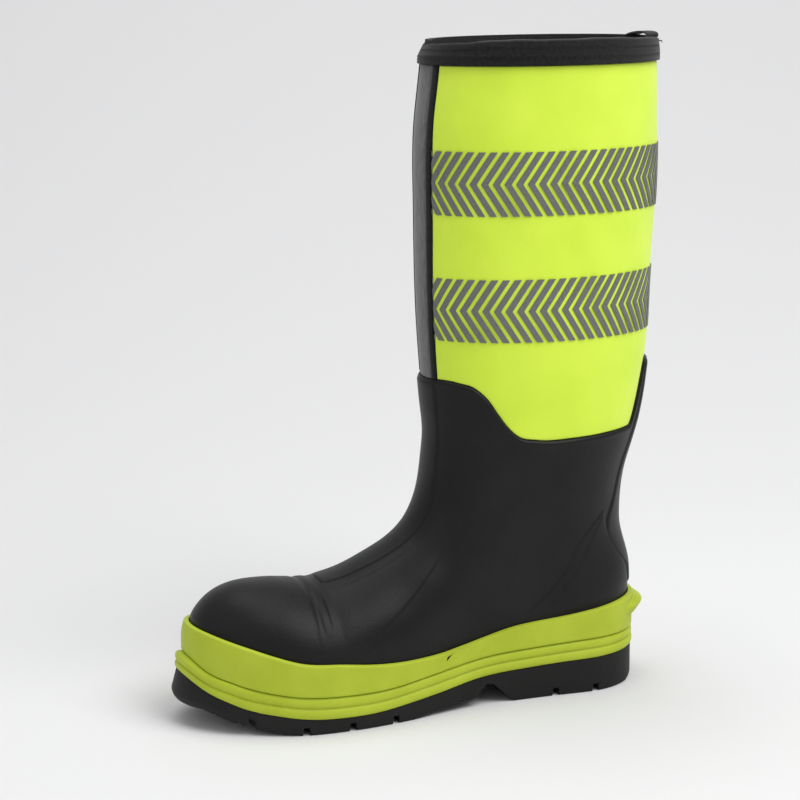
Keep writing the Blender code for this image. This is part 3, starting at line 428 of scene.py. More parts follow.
def rubber_top(v):
    """Height of the rubber's top edge: high in front and behind, low at both sides."""
    f = fold(v)
    side = through([0, 0.095, 0.12, 0.142, 0.157, 0.174, 0.19, 0.22, 0.30, 0.39, 0.5],
                   [1, 0.985, 0.92, 0.72, 0.48, 0.24, 0.09, 0.01, 0, 0.02, 0.03], f)
    front = RUBBER_SIDE_TOP + (RUBBER_FRONT_TOP - RUBBER_SIDE_TOP) * side
    return front + (RUBBER_BACK_TOP - front) * ease(0.398, 0.428, f)


# %% [markdown]
# ## Finishes
#
# Every finish is a small node tree on a Principled shader.  A helper starts each one and another
# adds the fine bumps, because cloth and rubber differ mostly in the pattern and depth of those.
# The patterns read Object coordinates, so they are measured in metres on the real boot.

# %% Helpers for finishes
def finish_nodes(name, colour, roughness, metallic=0.0):
    """A material with one Principled shader: returns it, its node tree and the shader."""
    mat = bpy.data.materials.new(name)
    mat.use_nodes = True
    shader = mat.node_tree.nodes["Principled BSDF"]
    shader.inputs["Base Color"].default_value = (*colour, 1)
    shader.inputs["Roughness"].default_value = roughness
    shader.inputs["Metallic"].default_value = metallic
    mat.diffuse_color = (*colour, 1)
    return mat, mat.node_tree, shader


def noise(tree, scale, detail=4.0, stretch=(1, 1, 1)):
    """Noise over the object's own coordinates; stretch multiplies each axis."""
    place = tree.nodes.new("ShaderNodeTexCoord")
    mapping = tree.nodes.new("ShaderNodeMapping")
    mapping.inputs["Scale"].default_value = stretch
    texture = tree.nodes.new("ShaderNodeTexNoise")
    texture.inputs["Scale"].default_value = scale
    texture.inputs["Detail"].default_value = detail
    tree.links.new(place.outputs["Object"], mapping.inputs["Vector"])
    tree.links.new(mapping.outputs["Vector"], texture.inputs["Vector"])
    return texture.outputs["Fac"]


def blend_colours(tree, share, low, high, target):
    """Colour from low to high as share goes from 0.35 to 0.65, into the target socket."""
    ramp = tree.nodes.new("ShaderNodeValToRGB")
    ramp.color_ramp.elements[0].position = 0.35
    ramp.color_ramp.elements[0].color = (*low, 1)
    ramp.color_ramp.elements[1].position = 0.65
    ramp.color_ramp.elements[1].color = (*high, 1)
    tree.links.new(share, ramp.inputs["Fac"])
    tree.links.new(ramp.outputs["Color"], target)


def bump(tree, shader, height, depth, strength=1.0, under=None):
    """Fine relief of that depth in metres, on top of the relief given as under."""
    node = tree.nodes.new("ShaderNodeBump")
    node.inputs["Strength"].default_value = strength
    node.inputs["Distance"].default_value = depth
    tree.links.new(height, node.inputs["Height"])
    if under is not None:
        tree.links.new(under, node.inputs["Normal"])
    tree.links.new(node.outputs["Normal"], shader.inputs["Normal"])
    return node.outputs["Normal"]


def waves(tree, scale, direction, distortion=0.0):
    """Even ridges across one axis, 2 pi / (20 x scale) metres apart."""
    place = tree.nodes.new("ShaderNodeTexCoord")
    wave = tree.nodes.new("ShaderNodeTexWave")
    wave.bands_direction = direction
    wave.inputs["Scale"].default_value = scale
    wave.inputs["Distortion"].default_value = distortion
    tree.links.new(place.outputs["Object"], wave.inputs["Vector"])
    return wave.outputs["Fac"]


# %% [markdown]
# ### Cloth finishes
#
# The shaft is faced with a knitted fabric in a fluorescent yellow, brushed so that it looks soft and
# almost without shine.  Two noises do it: a broad one moves the colour a little, as handled cloth
# does, and a very fine one gives the fibres.  The sheen is the light caught by standing fibres.

# %% Yellow knit, grey strip and black tape
def yellow_knit():
    """Fluorescent cloth: two noises for colour and fibres, and a soft sheen."""
    mat, tree, shader = finish_nodes("yellow_knit", (0.71, 0.95, 0.057), 0.85)
    blend_colours(tree, noise(tree, 28, 3), (0.69, 0.93, 0.052), (0.74, 0.97, 0.064),
                  shader.inputs["Base Color"])
    fibres = bump(tree, shader, noise(tree, 2600, 2, (1, 1, 0.6)), 0.00012, 0.55)
    bump(tree, shader, noise(tree, 160, 3), 0.0005, 0.35, fibres)
    shader.inputs["Sheen Weight"].default_value = 0.25
    shader.inputs["Sheen Roughness"].default_value = 0.5
    return mat


def grey_strip():
    """Grey cloth whose fibres run up the strip."""
    mat, tree, shader = finish_nodes("grey_strip", (0.115, 0.115, 0.115), 0.8)
    blend_colours(tree, noise(tree, 900, 3, (1, 1, 0.15)), (0.085, 0.085, 0.086), (0.145, 0.145, 0.145),
                  shader.inputs["Base Color"])
    bump(tree, shader, noise(tree, 1800, 2, (1, 1, 0.3)), 0.00015, 0.6)
    shader.inputs["Sheen Weight"].default_value = 0.3
    return mat


def black_tape(name="black_tape", ribs=105.0):
    """Dull black weave with ribs across the height."""
    mat, tree, shader = finish_nodes(name, (0.016, 0.016, 0.016), 0.88)
    shader.inputs["Specular IOR Level"].default_value = 0.2
    blend_colours(tree, noise(tree, 500, 4), (0.006, 0.006, 0.006), (0.014, 0.014, 0.014),
                  shader.inputs["Base Color"])
    woven = bump(tree, shader, waves(tree, ribs, "Z"), 0.0002, 0.5)
    bump(tree, shader, noise(tree, 2200, 2), 0.00012, 0.5, woven)
    shader.inputs["Sheen Weight"].default_value = 0.2
    return mat


def grey_knit():
    """The lining: a looser grey knit with wavy ribs."""
    mat, tree, shader = finish_nodes("lining_knit", (0.10, 0.10, 0.105), 0.9)
    blend_colours(tree, noise(tree, 700, 3), (0.07, 0.07, 0.074), (0.14, 0.14, 0.146),
                  shader.inputs["Base Color"])
    bump(tree, shader, waves(tree, 60.0, "Z", 1.0), 0.0004, 0.5)
    shader.inputs["Sheen Weight"].default_value = 0.3
    return mat


YELLOW, STRIP, TAPE, KNIT = yellow_knit(), grey_strip(), black_tape(), grey_knit()
print("cloth finishes:", YELLOW.name, STRIP.name, TAPE.name, KNIT.name)

# %% [markdown]
# ### Reflective film
#
# The chevrons are a grey film full of tiny glass beads.  In soft light it is a mid grey with a
# slightly metallic look and a fine sparkle, which noises on the colour and the relief give.

# %% Reflective film
def bead_film():
    """Grey film, a quarter metallic, with fine grains."""
    mat, tree, shader = finish_nodes("bead_film", (0.165, 0.165, 0.165), 0.5, 0.25)
    blend_colours(tree, noise(tree, 1200, 2), (0.140, 0.140, 0.141), (0.190, 0.190, 0.190),
                  shader.inputs["Base Color"])
    bump(tree, shader, noise(tree, 3000, 2), 0.00006, 0.4)
    return mat


FILM = bead_film()

# %% [markdown]
# ### Rubber finishes
#
# The foot is black rubber with a fine leather-like grain and a soft satin shine, the outsole is the
# same rubber but duller and harder, and the rand and bumper are lime rubber.  A cellular pattern
# gives the grain, and slower noises make the colour and the shine uneven, as on a moulded part.

# %% Black and lime rubber
def moulded_rubber(name, dark, light, roughness, grain, depth, patchy=(22, 2)):
    """Rubber between two colours, with pores of one scale and depth and swells over them."""
    mat, tree, shader = finish_nodes(name, dark, roughness)
    shader.inputs["Specular IOR Level"].default_value = 0.2
    blend_colours(tree, noise(tree, *patchy), dark, light, shader.inputs["Base Color"])
    cells = tree.nodes.new("ShaderNodeTexVoronoi")
    cells.inputs["Scale"].default_value = grain
    place = tree.nodes.new("ShaderNodeTexCoord")
    tree.links.new(place.outputs["Object"], cells.inputs["Vector"])
    pores = bump(tree, shader, cells.outputs["Distance"], depth, 0.5)
    bump(tree, shader, noise(tree, grain * 0.22, 3), depth * 1.5, 0.4, pores)
    return mat


FOOT_RUBBER = moulded_rubber("foot_rubber", (0.0085, 0.0085, 0.0092), (0.0115, 0.0115, 0.0122), 0.44, 1100,
                             0.00012)
SOLE_RUBBER = moulded_rubber("sole_rubber", (0.010, 0.010, 0.010), (0.015, 0.015, 0.015), 0.6, 700, 0.0001)
LIME_RUBBER = moulded_rubber("lime_rubber", (0.44, 0.535, 0.034), (0.49, 0.59, 0.044), 0.5, 800, 0.00008,
                             (40, 3))
print("rubber finishes:", FOOT_RUBBER.name, SOLE_RUBBER.name, LIME_RUBBER.name)

# %% [markdown]
# ### Finishes inside
#
# The steel, the fibre board and the foam are sealed inside the boot.  They still get real finishes,
# because the boot can be taken apart.

# %% Steel, board and foam
def brushed_steel():
    """Bare pressed steel with faint lines along the boot."""
    mat, tree, shader = finish_nodes("pressed_steel", (0.55, 0.55, 0.57), 0.35, 1.0)
    bump(tree, shader, noise(tree, 900, 2, (1, 0.05, 1)), 0.00005, 0.5)
    return mat


def pressed_board():
    """Brown fibre board with flecks."""
    mat, tree, shader = finish_nodes("pressed_board", (0.42, 0.30, 0.17), 0.9)
    blend_colours(tree, noise(tree, 420, 5), (0.32, 0.22, 0.12), (0.50, 0.37, 0.22),
                  shader.inputs["Base Color"])
    bump(tree, shader, noise(tree, 900, 3), 0.0002, 0.6)
    return mat


def cell_foam():
    """Black foam whose open cells show as a fine cellular relief, with painted shade darkening the pit of
    each cell.
    """
    mat, tree, shader = finish_nodes("cell_foam", (0.02, 0.02, 0.02), 0.95)
    cells = tree.nodes.new("ShaderNodeTexVoronoi")
    cells.inputs["Scale"].default_value = 1400
    place = tree.nodes.new("ShaderNodeTexCoord")
    tree.links.new(place.outputs["Object"], cells.inputs["Vector"])
    # Painted shade: the colour is darker where the cell distance is low, in the pits of the relief.
    blend_colours(tree, cells.outputs["Distance"], (0.014, 0.014, 0.014), (0.03, 0.03, 0.03),
                  shader.inputs["Base Color"])
    bump(tree, shader, cells.outputs["Distance"], 0.0003, 0.7)
    return mat


STEEL, BOARD, FOAM = brushed_steel(), pressed_board(), cell_foam()
print("inner finishes:", STEEL.name, BOARD.name, FOAM.name)

# %% [markdown]
# ## From a grid to a piece
#
# Every layer is a thin closed shell: an outer grid, an inner grid behind it, and a rim of faces
# that joins their edges.  One helper makes the faces and another makes the object, gives it its
# finish, hides the solid it stands for and lets it ride on the boot.

# %% Make pieces
def piece(name, points, faces, mat, nodes=(), sharp=40, body="boot", clean=False):
    """Mesh object in the frame, shaded smooth except at corners sharper than the given angle."""
    mesh = bpy.data.meshes.new(name)
    corners = np.asarray(points, float).reshape(-1, 3) + SHIFT
    mesh.from_pydata(corners.tolist(), [], [list(map(int, f)) for f in faces])
    if clean:
        form = bmesh.new()
        form.from_mesh(mesh)
        bmesh.ops.remove_doubles(form, verts=form.verts, dist=0.00001)
        bmesh.ops.dissolve_degenerate(form, edges=form.edges, dist=0.000005)
        form.to_mesh(mesh)
        form.free()
    mesh.update()
    mesh.shade_smooth()
    mesh.set_sharp_from_angle(angle=math.radians(sharp))
    mesh.materials.append(mat)
    obj = bpy.data.objects.new(name, mesh)
    bpy.context.collection.objects.link(obj)
    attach(obj, body)
    if nodes:
        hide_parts(*nodes)
    print(f"{name}: {len(mesh.polygons)} faces")
    return obj


def grid_faces(rows, cols, ring):
    """Quads of a grid whose points are numbered row by row; ring joins the last column to the first."""
    i, j = np.meshgrid(np.arange(rows - 1), np.arange(cols if ring else cols - 1), indexing="ij")
    k = (j + 1) % cols
    return np.stack([i * cols + j, i * cols + k, (i + 1) * cols + k, (i + 1) * cols + j], -1).reshape(-1, 4)


def shell_faces(rows, cols, ring):
    """Faces of a closed shell: the outer grid, the inner grid turned round, and the rims."""
    front = grid_faces(rows, cols, ring)
    count = rows * cols
    j = np.arange(cols if ring else cols - 1)
    k = (j + 1) % cols
    top = (rows - 1) * cols
    parts = [front, front[:, ::-1] + count, np.stack([k, j, j + count, k + count], 1),
             np.stack([top + j, top + k, top + k + count, top + j + count], 1)]
    if not ring:
        a = np.arange(rows - 1) * cols
        b = a + cols
        parts.append(np.stack([a, b, b + count, a + count], 1))
        last = cols - 1
        parts.append(np.stack([b + last, a + last, a + last + count, b + last + count], 1))
    return np.vstack(parts)


def between(low, high, shares):
    """Grid whose rows run from the array low to the array high at the given shares."""
    return low + (high - low) * np.asarray(shares)[:, None]


def packed(count, edge=0.004, steps=4):
    """Shares from 0 to 1: even in the middle, with extra ones close to both ends."""
    near = edge * (np.arange(steps) / (steps - 1)) ** 1.6
    return np.unique(np.round(np.r_[near, np.linspace(edge, 1 - edge, count), 1 - near], 7))


def edge_distance(p, ring):
    """Distance in metres from each grid point to the nearest open edge, along rows and columns."""
    up = np.linalg.norm(np.diff(p, axis=0), axis=-1)
    run = np.vstack([np.zeros((1, p.shape[1])), np.cumsum(up, axis=0)])
    gap = np.minimum(run, run[-1:] - run)
    if ring:
        return gap
    along = np.linalg.norm(np.diff(p, axis=1), axis=-1)
    run = np.hstack([np.zeros((p.shape[0], 1)), np.cumsum(along, axis=1)])
    return np.minimum(gap, np.minimum(run, run[:, -1:] - run))


def rounded(p, ring, radius, lip=0.2):
    """1 inside and lip at the open edges, rising as a quarter circle over the radius."""
    t = np.clip(edge_distance(p, ring) / radius, 0, 1)
    return lip + (1 - lip) * np.sqrt(1 - (1 - t) ** 2)


def skin(name, u, v, inner, thick, mat, nodes, ring=False, radius=0.0008, relief=0.0, sharp=40):
    """Closed shell over a grid of u and v with rounded edges; relief is extra height per point."""
    u, v = np.broadcast_arrays(u, v)
    base = surface(u, v)
    out = inner + thick * rounded(base, ring, radius) + relief
    points = np.vstack([layer(u, v, out).reshape(-1, 3),
                        layer(u, v, np.broadcast_to(inner, u.shape)).reshape(-1, 3)])
    return piece(name, points, shell_faces(*u.shape, ring), mat, nodes, sharp)


# %% [markdown]
# ## The layers' distances
#
# The facing's outside is distance 0.  The rubber foot stands 1.6 mm outside it, the rand starts
# 0.8 mm outside that, and the foam and the lining lie inside.

# %% Distances from the surface
GAP = 0.0003
LAYER_GAP = 0.0005
FACING = 0.0008
RAND = 0.0027
RUBBER_OUT = 0.0016
OVERLAY_IN = RUBBER_OUT + LAYER_GAP + GAP
FOAM_OUT = -FACING - LAYER_GAP
FOAM_THICKNESS = 0.0040
LINING_OUT = FOAM_OUT - FOAM_THICKNESS - 1.4 * LAYER_GAP
LINING = 0.0012
BINDING_HEIGHT = 0.0155
BINDING_EDGE = BOOT_HEIGHT - BINDING_HEIGHT
LAYER_TOP = BINDING_EDGE - GAP
STRIP_V = 0.030
PIPE_V = 0.046
BACK_V = 0.489
SEAM_V = 0.0006

# %% [markdown]
# ## The shaft
#
# Two yellow panels wrap the leg, from the black piping in front to the taped seam behind.  The grey
# strip between them reaches further round to the inner side.  Real knitted facing never lies quite
# flat, so slow waves of a few tenths of a millimetre are added to its height above the foam.

# %% Shaft panels
PANEL_RIPPLE = 0.00016
STRIP_TURN = 0.024


def soft_ripple(p, height):
    """Slow waves in y and z, a few centimetres long, of the given height."""
    y, z = p[..., 1], p[..., 2]
    return height * (np.sin(y * 190 + 2.0 * np.sin(z * 45)) + 0.8 * np.sin(z * 120 + 3.0 * np.sin(y * 60)))


def shaft_skin(name, v, mat, lift=0.0, ripple=0.0):
    """A facing piece from the rubber's top edge up to the binding, over columns v."""
    low = u_at_height(v, rubber_top(v) + GAP)
    high = u_at_height(v, np.full(v.shape, LAYER_TOP))
    u = between(low, high, packed(90))
    grid_v = np.broadcast_to(v, u.shape)
    relief = lift + soft_ripple(surface(u, grid_v), ripple)
    node = name.replace("_skin", "")
    return skin(name, u, grid_v, -FACING, FACING, mat, [node], False, 0.0006, relief)


lateral_v = PIPE_V + SEAM_V + (BACK_V - PIPE_V - 2 * SEAM_V) * packed(150, 0.006)
mirrored = 1 - lateral_v[::-1]
medial_v = mirrored[0] + (mirrored - mirrored[0]) * (1 - STRIP_TURN / np.ptp(mirrored))
shaft_skin("lateral_shaft_panel_skin", lateral_v, YELLOW, ripple=PANEL_RIPPLE)
shaft_skin("medial_shaft_panel_skin", medial_v, YELLOW, ripple=PANEL_RIPPLE)

# %% [markdown]
# ### Shin strip, piping and back seam
#
# A grey strip covers the shin, and a narrow black piping stands a little proud on each side of it.
# Across its width the piping is half an ellipse, so its relief is the root of one minus a square.

# %% Strip and piping
def half_round(columns, height):
    """Half an ellipse across the columns, from edge to edge, of the given height."""
    across = np.linspace(-1, 1, columns)
    return height * np.sqrt(np.clip(1 - 0.92 * across**2, 0, None))


PIPING = half_round(9, 0.0011)
BACK_TAPE = half_round(9, 0.0006)
pipe_v = np.linspace(STRIP_V + SEAM_V, PIPE_V - SEAM_V, 9)
inner_pipe_v = 1 - STRIP_TURN - pipe_v[::-1]
strip_v = np.linspace(-STRIP_V - STRIP_TURN, STRIP_V, 19)
shaft_skin("shin_strip_skin", strip_v, STRIP)
shaft_skin("lateral_piping_skin", pipe_v, TAPE, PIPING)
shaft_skin("medial_piping_skin", inner_pipe_v, TAPE, PIPING)
back_v = np.linspace(BACK_V + SEAM_V, 1 - BACK_V - SEAM_V, 9)
shaft_skin("back_seam_tape_skin", back_v, TAPE, BACK_TAPE)

# %% [markdown]
# ### Reflective chevrons
#
# Each band is a row of arrowheads cut from reflective film and pressed onto the cloth, pointing to
# the front.  A band's columns are measured along the cloth, in metres, so that the arrowheads keep
# one width all round the leg.  An arm leans back by the height above the band's middle divided by
# the tangent of its angle.  Each arrowhead is a thin closed shell with its own few faces.

# %% Chevron bands
BAND_HEIGHT = 0.038
CHEVRON_PITCH = 0.0069
CHEVRON_WIDTH = 0.0042
CHEVRON_ANGLE = math.radians(57)
FILM_THICKNESS = 0.00022
BAND_REACH = BINDING_EDGE - RUBBER_FRONT_TOP
BAND_PLACES = {"lower": 0.235, "upper": 0.635}


def chevron_band(name, middle, flip, node):
    """All arrowheads of one band on one side of the shaft, as one mesh of separate thin shells."""
    v_line = np.linspace(PIPE_V + 2 * SEAM_V + STRIP_TURN * flip, BACK_V - 2 * SEAM_V, 240)
    ring = surface(u_at_height(v_line, np.full(240, middle)), v_line)
    run = np.r_[0, np.cumsum(np.linalg.norm(np.diff(ring, axis=0), axis=1))]
    h = np.r_[np.linspace(-BAND_HEIGHT / 2, 0, 6), np.linspace(0, BAND_HEIGHT / 2, 6)[1:]]
    lean = np.abs(h) / math.tan(CHEVRON_ANGLE)
    across = np.array([-0.5, -0.1, 0.3, 0.5]) * CHEVRON_WIDTH
    start = np.arange(-2, int(run[-1] / CHEVRON_PITCH) + 2) * CHEVRON_PITCH
    at = np.clip(start[:, None, None] + lean[None, :, None] + across[None, None], 0, run[-1])
    kept = (at[..., -1] - at[..., 0]).max(1) > 0.0006
    at = at[kept]
    v = np.interp(at, run, v_line)
    u = u_at_height(v, np.broadcast_to(middle + h[None, :, None], v.shape))
    if flip:
        u, v = u[..., ::-1], (1 - v)[..., ::-1]
    outer = layer(u, v, np.full(v.shape, LAYER_GAP + FILM_THICKNESS))
    inner = layer(u, v, np.full(v.shape, LAYER_GAP * 0.6))
    points = np.stack([outer, inner], 1).reshape(-1, 3)
    one = shell_faces(len(h), len(across), False)
    step = 2 * len(h) * len(across)
    faces = (one[None] + step * np.arange(len(at))[:, None, None]).reshape(-1, 4)
    return piece(name, points, faces, FILM, [node], 30, clean=True)


for label, place in BAND_PLACES.items():
    middle_height = RUBBER_FRONT_TOP + place * BAND_REACH
    chevron_band(f"{label}_chevrons_lateral", middle_height, False, f"{label}_band_lateral")
    chevron_band(f"{label}_chevrons_medial", middle_height, True, f"{label}_band_medial")

# %% [markdown]
# ## The collar
#
# A ribbed tape is folded over the rim and sewn twice.  Its section is a rounded U that is carried
# round the rim.  A slow wave along the rim and a bump at the front corner, where the tape's end is
# lapped, keep it from looking machined.

# %% Collar binding
COLLAR_COLUMNS = 288
collar_v = np.arange(COLLAR_COLUMNS) / COLLAR_COLUMNS
BINDING_OUT = 2 * GAP
BINDING_IN = LINING_OUT - LINING - 2 * GAP
TAPE_THICKNESS = 0.0015
CROWN = 0.0022
STITCH_PLACES = {"low": 0.30, "high": 0.72}
RIM_WIDTH = 0.106
RIM_RADIUS = 0.05325
RIM_TILT = 0.0062
RIM_LEAN = 0.0030
LEAN_START = BINDING_EDGE + 0.004
LEAN_RUN = 0.0115


def collar_section(steps):
    """Outside of the U as (distance, height): up the outer wall, over a low arch, down inside."""
    wall = np.linspace(0, 1, steps)
    crown = BOOT_HEIGHT - CROWN
    groove = sum(0.0003 * np.exp(-((wall - place) / 0.06) ** 2) for place in STITCH_PLACES.values())
    face = BINDING_OUT + TAPE_THICKNESS + 0.0003 * np.sin(math.pi * wall) - groove
    up = np.stack([face, BINDING_EDGE + wall * (crown - BINDING_EDGE)], 1)
    turn = np.linspace(0, math.pi, 13)[1:-1]
    middle = (BINDING_OUT + BINDING_IN) / 2
    half = (BINDING_OUT - BINDING_IN) / 2 + TAPE_THICKNESS
    over = np.stack([middle + half * np.cos(turn), crown + CROWN * np.sin(turn) ** 0.7], 1)
    low = BINDING_EDGE + 0.001
    down = np.stack([np.full(steps, BINDING_IN - TAPE_THICKNESS), crown - wall * (crown - low)], 1)
    inside = np.array([(BINDING_IN, low), (BINDING_IN, LAYER_TOP + GAP), (BINDING_OUT, LAYER_TOP + GAP),
                       (BINDING_OUT, BINDING_EDGE)])
    return np.vstack([up, over, down, inside])


def rim_tilt(x):
    """How far the rim's top sinks towards the inner side, where the soft shaft leans: linear in x."""
    return RIM_TILT * np.clip(0.5 - x / RIM_WIDTH, 0, 1)


def lean_rim(p, v, height):
    """Tilt points near the rim inward, and their front backward, more the higher they are."""
    share = np.clip((height - LEAN_START) / LEAN_RUN, 0, 1)
    front = (1 + np.cos(2 * math.pi * v)) / 2
    p[:, 1] += RIM_LEAN * front**2 * share
    p[:, 2] -= rim_tilt(p[:, 0]) * share
    return share


def collar_binding():
    """The section's loops, each placed by its distance from the surface and its height."""
    section = collar_section(25)
    wave = 0.0004 * np.sin(collar_v * 2 * math.pi * 7 + 1.0) + 0.0002 * np.sin(collar_v * 2 * math.pi * 19)
    lap = 0.0012 * np.exp(-((fold(collar_v + 0.03)) / 0.012) ** 2)
    loops = []
    for distance, height in section:
        u = u_at_height(collar_v, np.full(COLLAR_COLUMNS, min(height, BOOT_HEIGHT - 0.0005)))
        p = layer(u, collar_v, np.full(COLLAR_COLUMNS, distance))
        p[:, 2] = height
        share = lean_rim(p, collar_v, height)
        p[:, 2] += (wave * 0.6 + lap) * share
        loops.append(p)
    count = len(section)
    faces = grid_faces(count + 1, COLLAR_COLUMNS, True) % (count * COLLAR_COLUMNS)
    return piece("collar_binding_tape", np.vstack(loops), faces, TAPE, ["collar_binding"], 45)


collar_binding()

# %% [markdown]
# ### Stitches, the pull loop and a few loose threads
#
# A row of stitches is a row of tiny capsules that lie in the tape's two grooves.  The loop is a strip
# of webbing bent into a low arch over the back of the rim.  Where its ends were cut, a few fine
# threads stand out.

# %% Stitches
def tube_rings(path, radius, sides):
    """Rings of points round a path: each ring lies in the plane square to the path."""
    along = np.gradient(path, axis=0)
    along /= np.linalg.norm(along, axis=1, keepdims=True)
    level = np.cross(along, [0.13, 0.21, 0.97])
    level /= np.linalg.norm(level, axis=1, keepdims=True)
    other = np.cross(along, level)
    turn = np.arange(sides) * 2 * math.pi / sides
    ring = np.cos(turn)[None, :, None] * level[:, None] + np.sin(turn)[None, :, None] * other[:, None]
    return path[:, None] + ring * np.asarray(radius).reshape(-1, 1, 1)


def tube_faces(rings, sides):
    """Quads along the tube and one flat cap at each end."""
    quads = grid_faces(rings, sides, True).tolist()
    last = (rings - 1) * sides
    return quads + [list(range(sides))[::-1], [last + k for k in range(sides)]]


def stitch_row(name, at, distance, length=0.0026, pitch=0.0034, radius=0.00028):
    """Capsules round the collar at one height, one every pitch."""
    v = np.linspace(0, 1, 1201)
    u = u_at_height(v, np.full(v.shape, at))
    line = layer(u, v, np.full(v.shape, distance))
    lean_rim(line, v, at)
    run = np.r_[0, np.cumsum(np.linalg.norm(np.diff(line, axis=0), axis=1))]
    count = int(run[-1] / pitch)
    share = np.array([-0.5, -0.38, 0, 0.38, 0.5])
    where = (np.arange(count)[:, None] * run[-1] / count + share[None] * length) % run[-1]
    path = np.stack([np.interp(where, run, line[:, k]) for k in range(3)], -1)
    widths = radius * np.array([0.25, 0.85, 1, 0.85, 0.25])
    points, faces, sides = [], [], 5
    for k in range(count):
        points.append(tube_rings(path[k], widths, sides).reshape(-1, 3))
        faces += [[c + k * 5 * sides for c in face] for face in tube_faces(5, sides)]
    return piece(name, np.vstack(points), faces, THREAD, [], 60)


THREAD = black_tape("sewing_thread", 300.0)
WALL_HEIGHT = BINDING_HEIGHT - CROWN
STITCH_OUT = BINDING_OUT + TAPE_THICKNESS + 0.0001
for label, place in STITCH_PLACES.items():
    stitch_row(f"collar_stitches_{label}", BINDING_EDGE + place * WALL_HEIGHT, STITCH_OUT)

# %% Pull loop and loose threads
def pull_loop():
    """Arch of webbing: a flat strip whose height over the rim is a low half ellipse."""
    turn = np.linspace(0, math.pi, 49)
    loop_thick, span, rise, wide = 0.0014, 0.034, 0.0048, 0.0086
    middle_y = CALF_Y - 0.001 + 0.5 * (LINING_OUT - LINING)
    edge = np.array([-0.5, -0.46, -0.3, -0.15, 0, 0.15, 0.3, 0.46, 0.5]) * wide
    crown = np.array([0.35, 0.9, 1.0, 0.92, 1.0, 0.92, 1.0, 0.9, 0.35])
    walls = []
    for extra in (loop_thick * crown, 0 * crown):
        across = (span / 2 - loop_thick + extra[None]) * np.cos(turn)[:, None]
        height = (rise - loop_thick + extra[None]) * np.sin(turn)[:, None] ** 0.8
        bow = -0.5 * across**2 / RIM_RADIUS
        y = middle_y + bow + edge[None] + 0.0006 * np.sin(turn * 3)[:, None]
        low = BOOT_HEIGHT - rim_tilt(across)
        walls.append(np.stack(np.broadcast_arrays(across, y, low + 0.9 * height), -1).reshape(-1, 3))
    faces = shell_faces(len(turn), len(edge), False)
    return piece("pull_loop_webbing", np.vstack(walls), faces, WEBBING, ["pull_loop"], 50)


def loose_threads(count=9):
    """Short curled threads at the loop's outer end; each bends along a quarter wave."""
    points, faces = [], []
    for k in range(count):
        t = np.linspace(0, 1, 9)
        out = 0.0016 + 0.0018 * math.sin(k * 2.4) ** 2
        start = np.array([0.0150 - 0.0011 * k, CALF_Y - 0.0005, BOOT_HEIGHT - 0.0045])
        path = start + np.stack([0.0012 * np.sin(t * (3 + k % 4)), out * t,
                                 0.0010 * math.cos(k * 1.9) * t - 0.0008 * t**2], 1)
        rings = tube_rings(path, np.linspace(0.00016, 0.00008, 9), 5)
        points.append(rings.reshape(-1, 3))
        faces += [[c + k * 45 for c in face] for face in tube_faces(9, 5)]
    return piece("loose_threads", np.vstack(points), faces, THREAD, [], 60)


WEBBING = black_tape("webbing", 40.0)
pull_loop()
loose_threads()

# %% [markdown]
# ## The rubber foot
#
# One moulded shell wraps the foot and ends in a soft rolled lip.  Its grid has extra rows near that
# lip.  Small dimples and swells of a tenth of a millimetre break up the highlights, as on real
# rubber that was laid up by hand over a last.

# %% Rubber foot
foot_v = np.unique(np.round(np.r_[np.arange(0, 1, 1 / 224), np.linspace(0.092, 0.192, 30),
                                  np.linspace(0.396, 0.43, 14), 1 - np.linspace(0.092, 0.192, 30),
                                  1 - np.linspace(0.396, 0.43, 14)], 5))


def hand_laid(p, height=0.00012):
    """Uneven swells, two to five centimetres long."""
    x, y, z = p[..., 0], p[..., 1], p[..., 2]
    return height * (np.sin(y * 150 + 2 * np.sin(z * 70) + x * 60) + np.sin(z * 170 + 2 * np.sin(y * 50)))


def rubber_foot():
    """Shell from just above the sole edge to the rubber's top line, rolled and beaded at its lip."""
    top = u_at_height(foot_v, rubber_top(foot_v))
    low = np.full(foot_v.shape, 0.004)
    near_lip = 1 - 0.015 * np.linspace(0, 1, 9) ** 1.6
    shares = np.unique(np.round(np.r_[np.linspace(0, 0.985, 150), near_lip], 6))
    u = between(low, top, shares)
    v = np.broadcast_to(foot_v, u.shape)
    p = surface(u, v)
    below_top = np.clip((rubber_top(v) - p[..., 2]) / 0.0016, 0, 1)
    roll = 0.35 + 0.65 * np.sqrt(1 - (1 - below_top) ** 2)
    bead = 0.0003 * np.exp(-((rubber_top(v) - p[..., 2] - 0.0020) / 0.0012) ** 2)
    outer = -FACING + (RUBBER_OUT + FACING) * roll + bead + hand_laid(p)
    points = np.vstack([layer(u, v, outer).reshape(-1, 3),
                        layer(u, v, np.full(u.shape, -FACING)).reshape(-1, 3)])
    return piece("rubber_foot_skin", points, shell_faces(*u.shape, True), FOOT_RUBBER, ["rubber_foot"],
                 50)


rubber_foot()

# %% [markdown]
# ### Raised rubber pieces
#
# Thin sheets of rubber are laid over the foot before it is cured: a toe cover and a narrow strip
# behind it, a strip up the instep, a panel on each side, and the heel's counter covers and stay.
# Their edges melt into the foot in the mould, so each sheet thins along a soft S-curve towards its
# edge, and some also fade away towards one end.

# %% Toe cover, strip and instep
CAP_SEAM_Y = TOE_Y + 0.079
SHEET_LIFT = 0.00004
SHEET_SINK = 0.00022
cap_v = np.linspace(-0.15, 0.15, 91)


def cap_grid(front_y, back_y, shares):
    """Grid over the toe between two cross planes; front_y None means down to the rand."""
    high = u_at_station(cap_v, back_y)
    low = u_at_line(cap_v, rand_top_z, GAP) if front_y is None else u_at_station(cap_v, front_y)
    low = np.minimum(low, high - 0.012)
    u = between(low, high, shares)
    return u, np.broadcast_to(cap_v, u.shape)


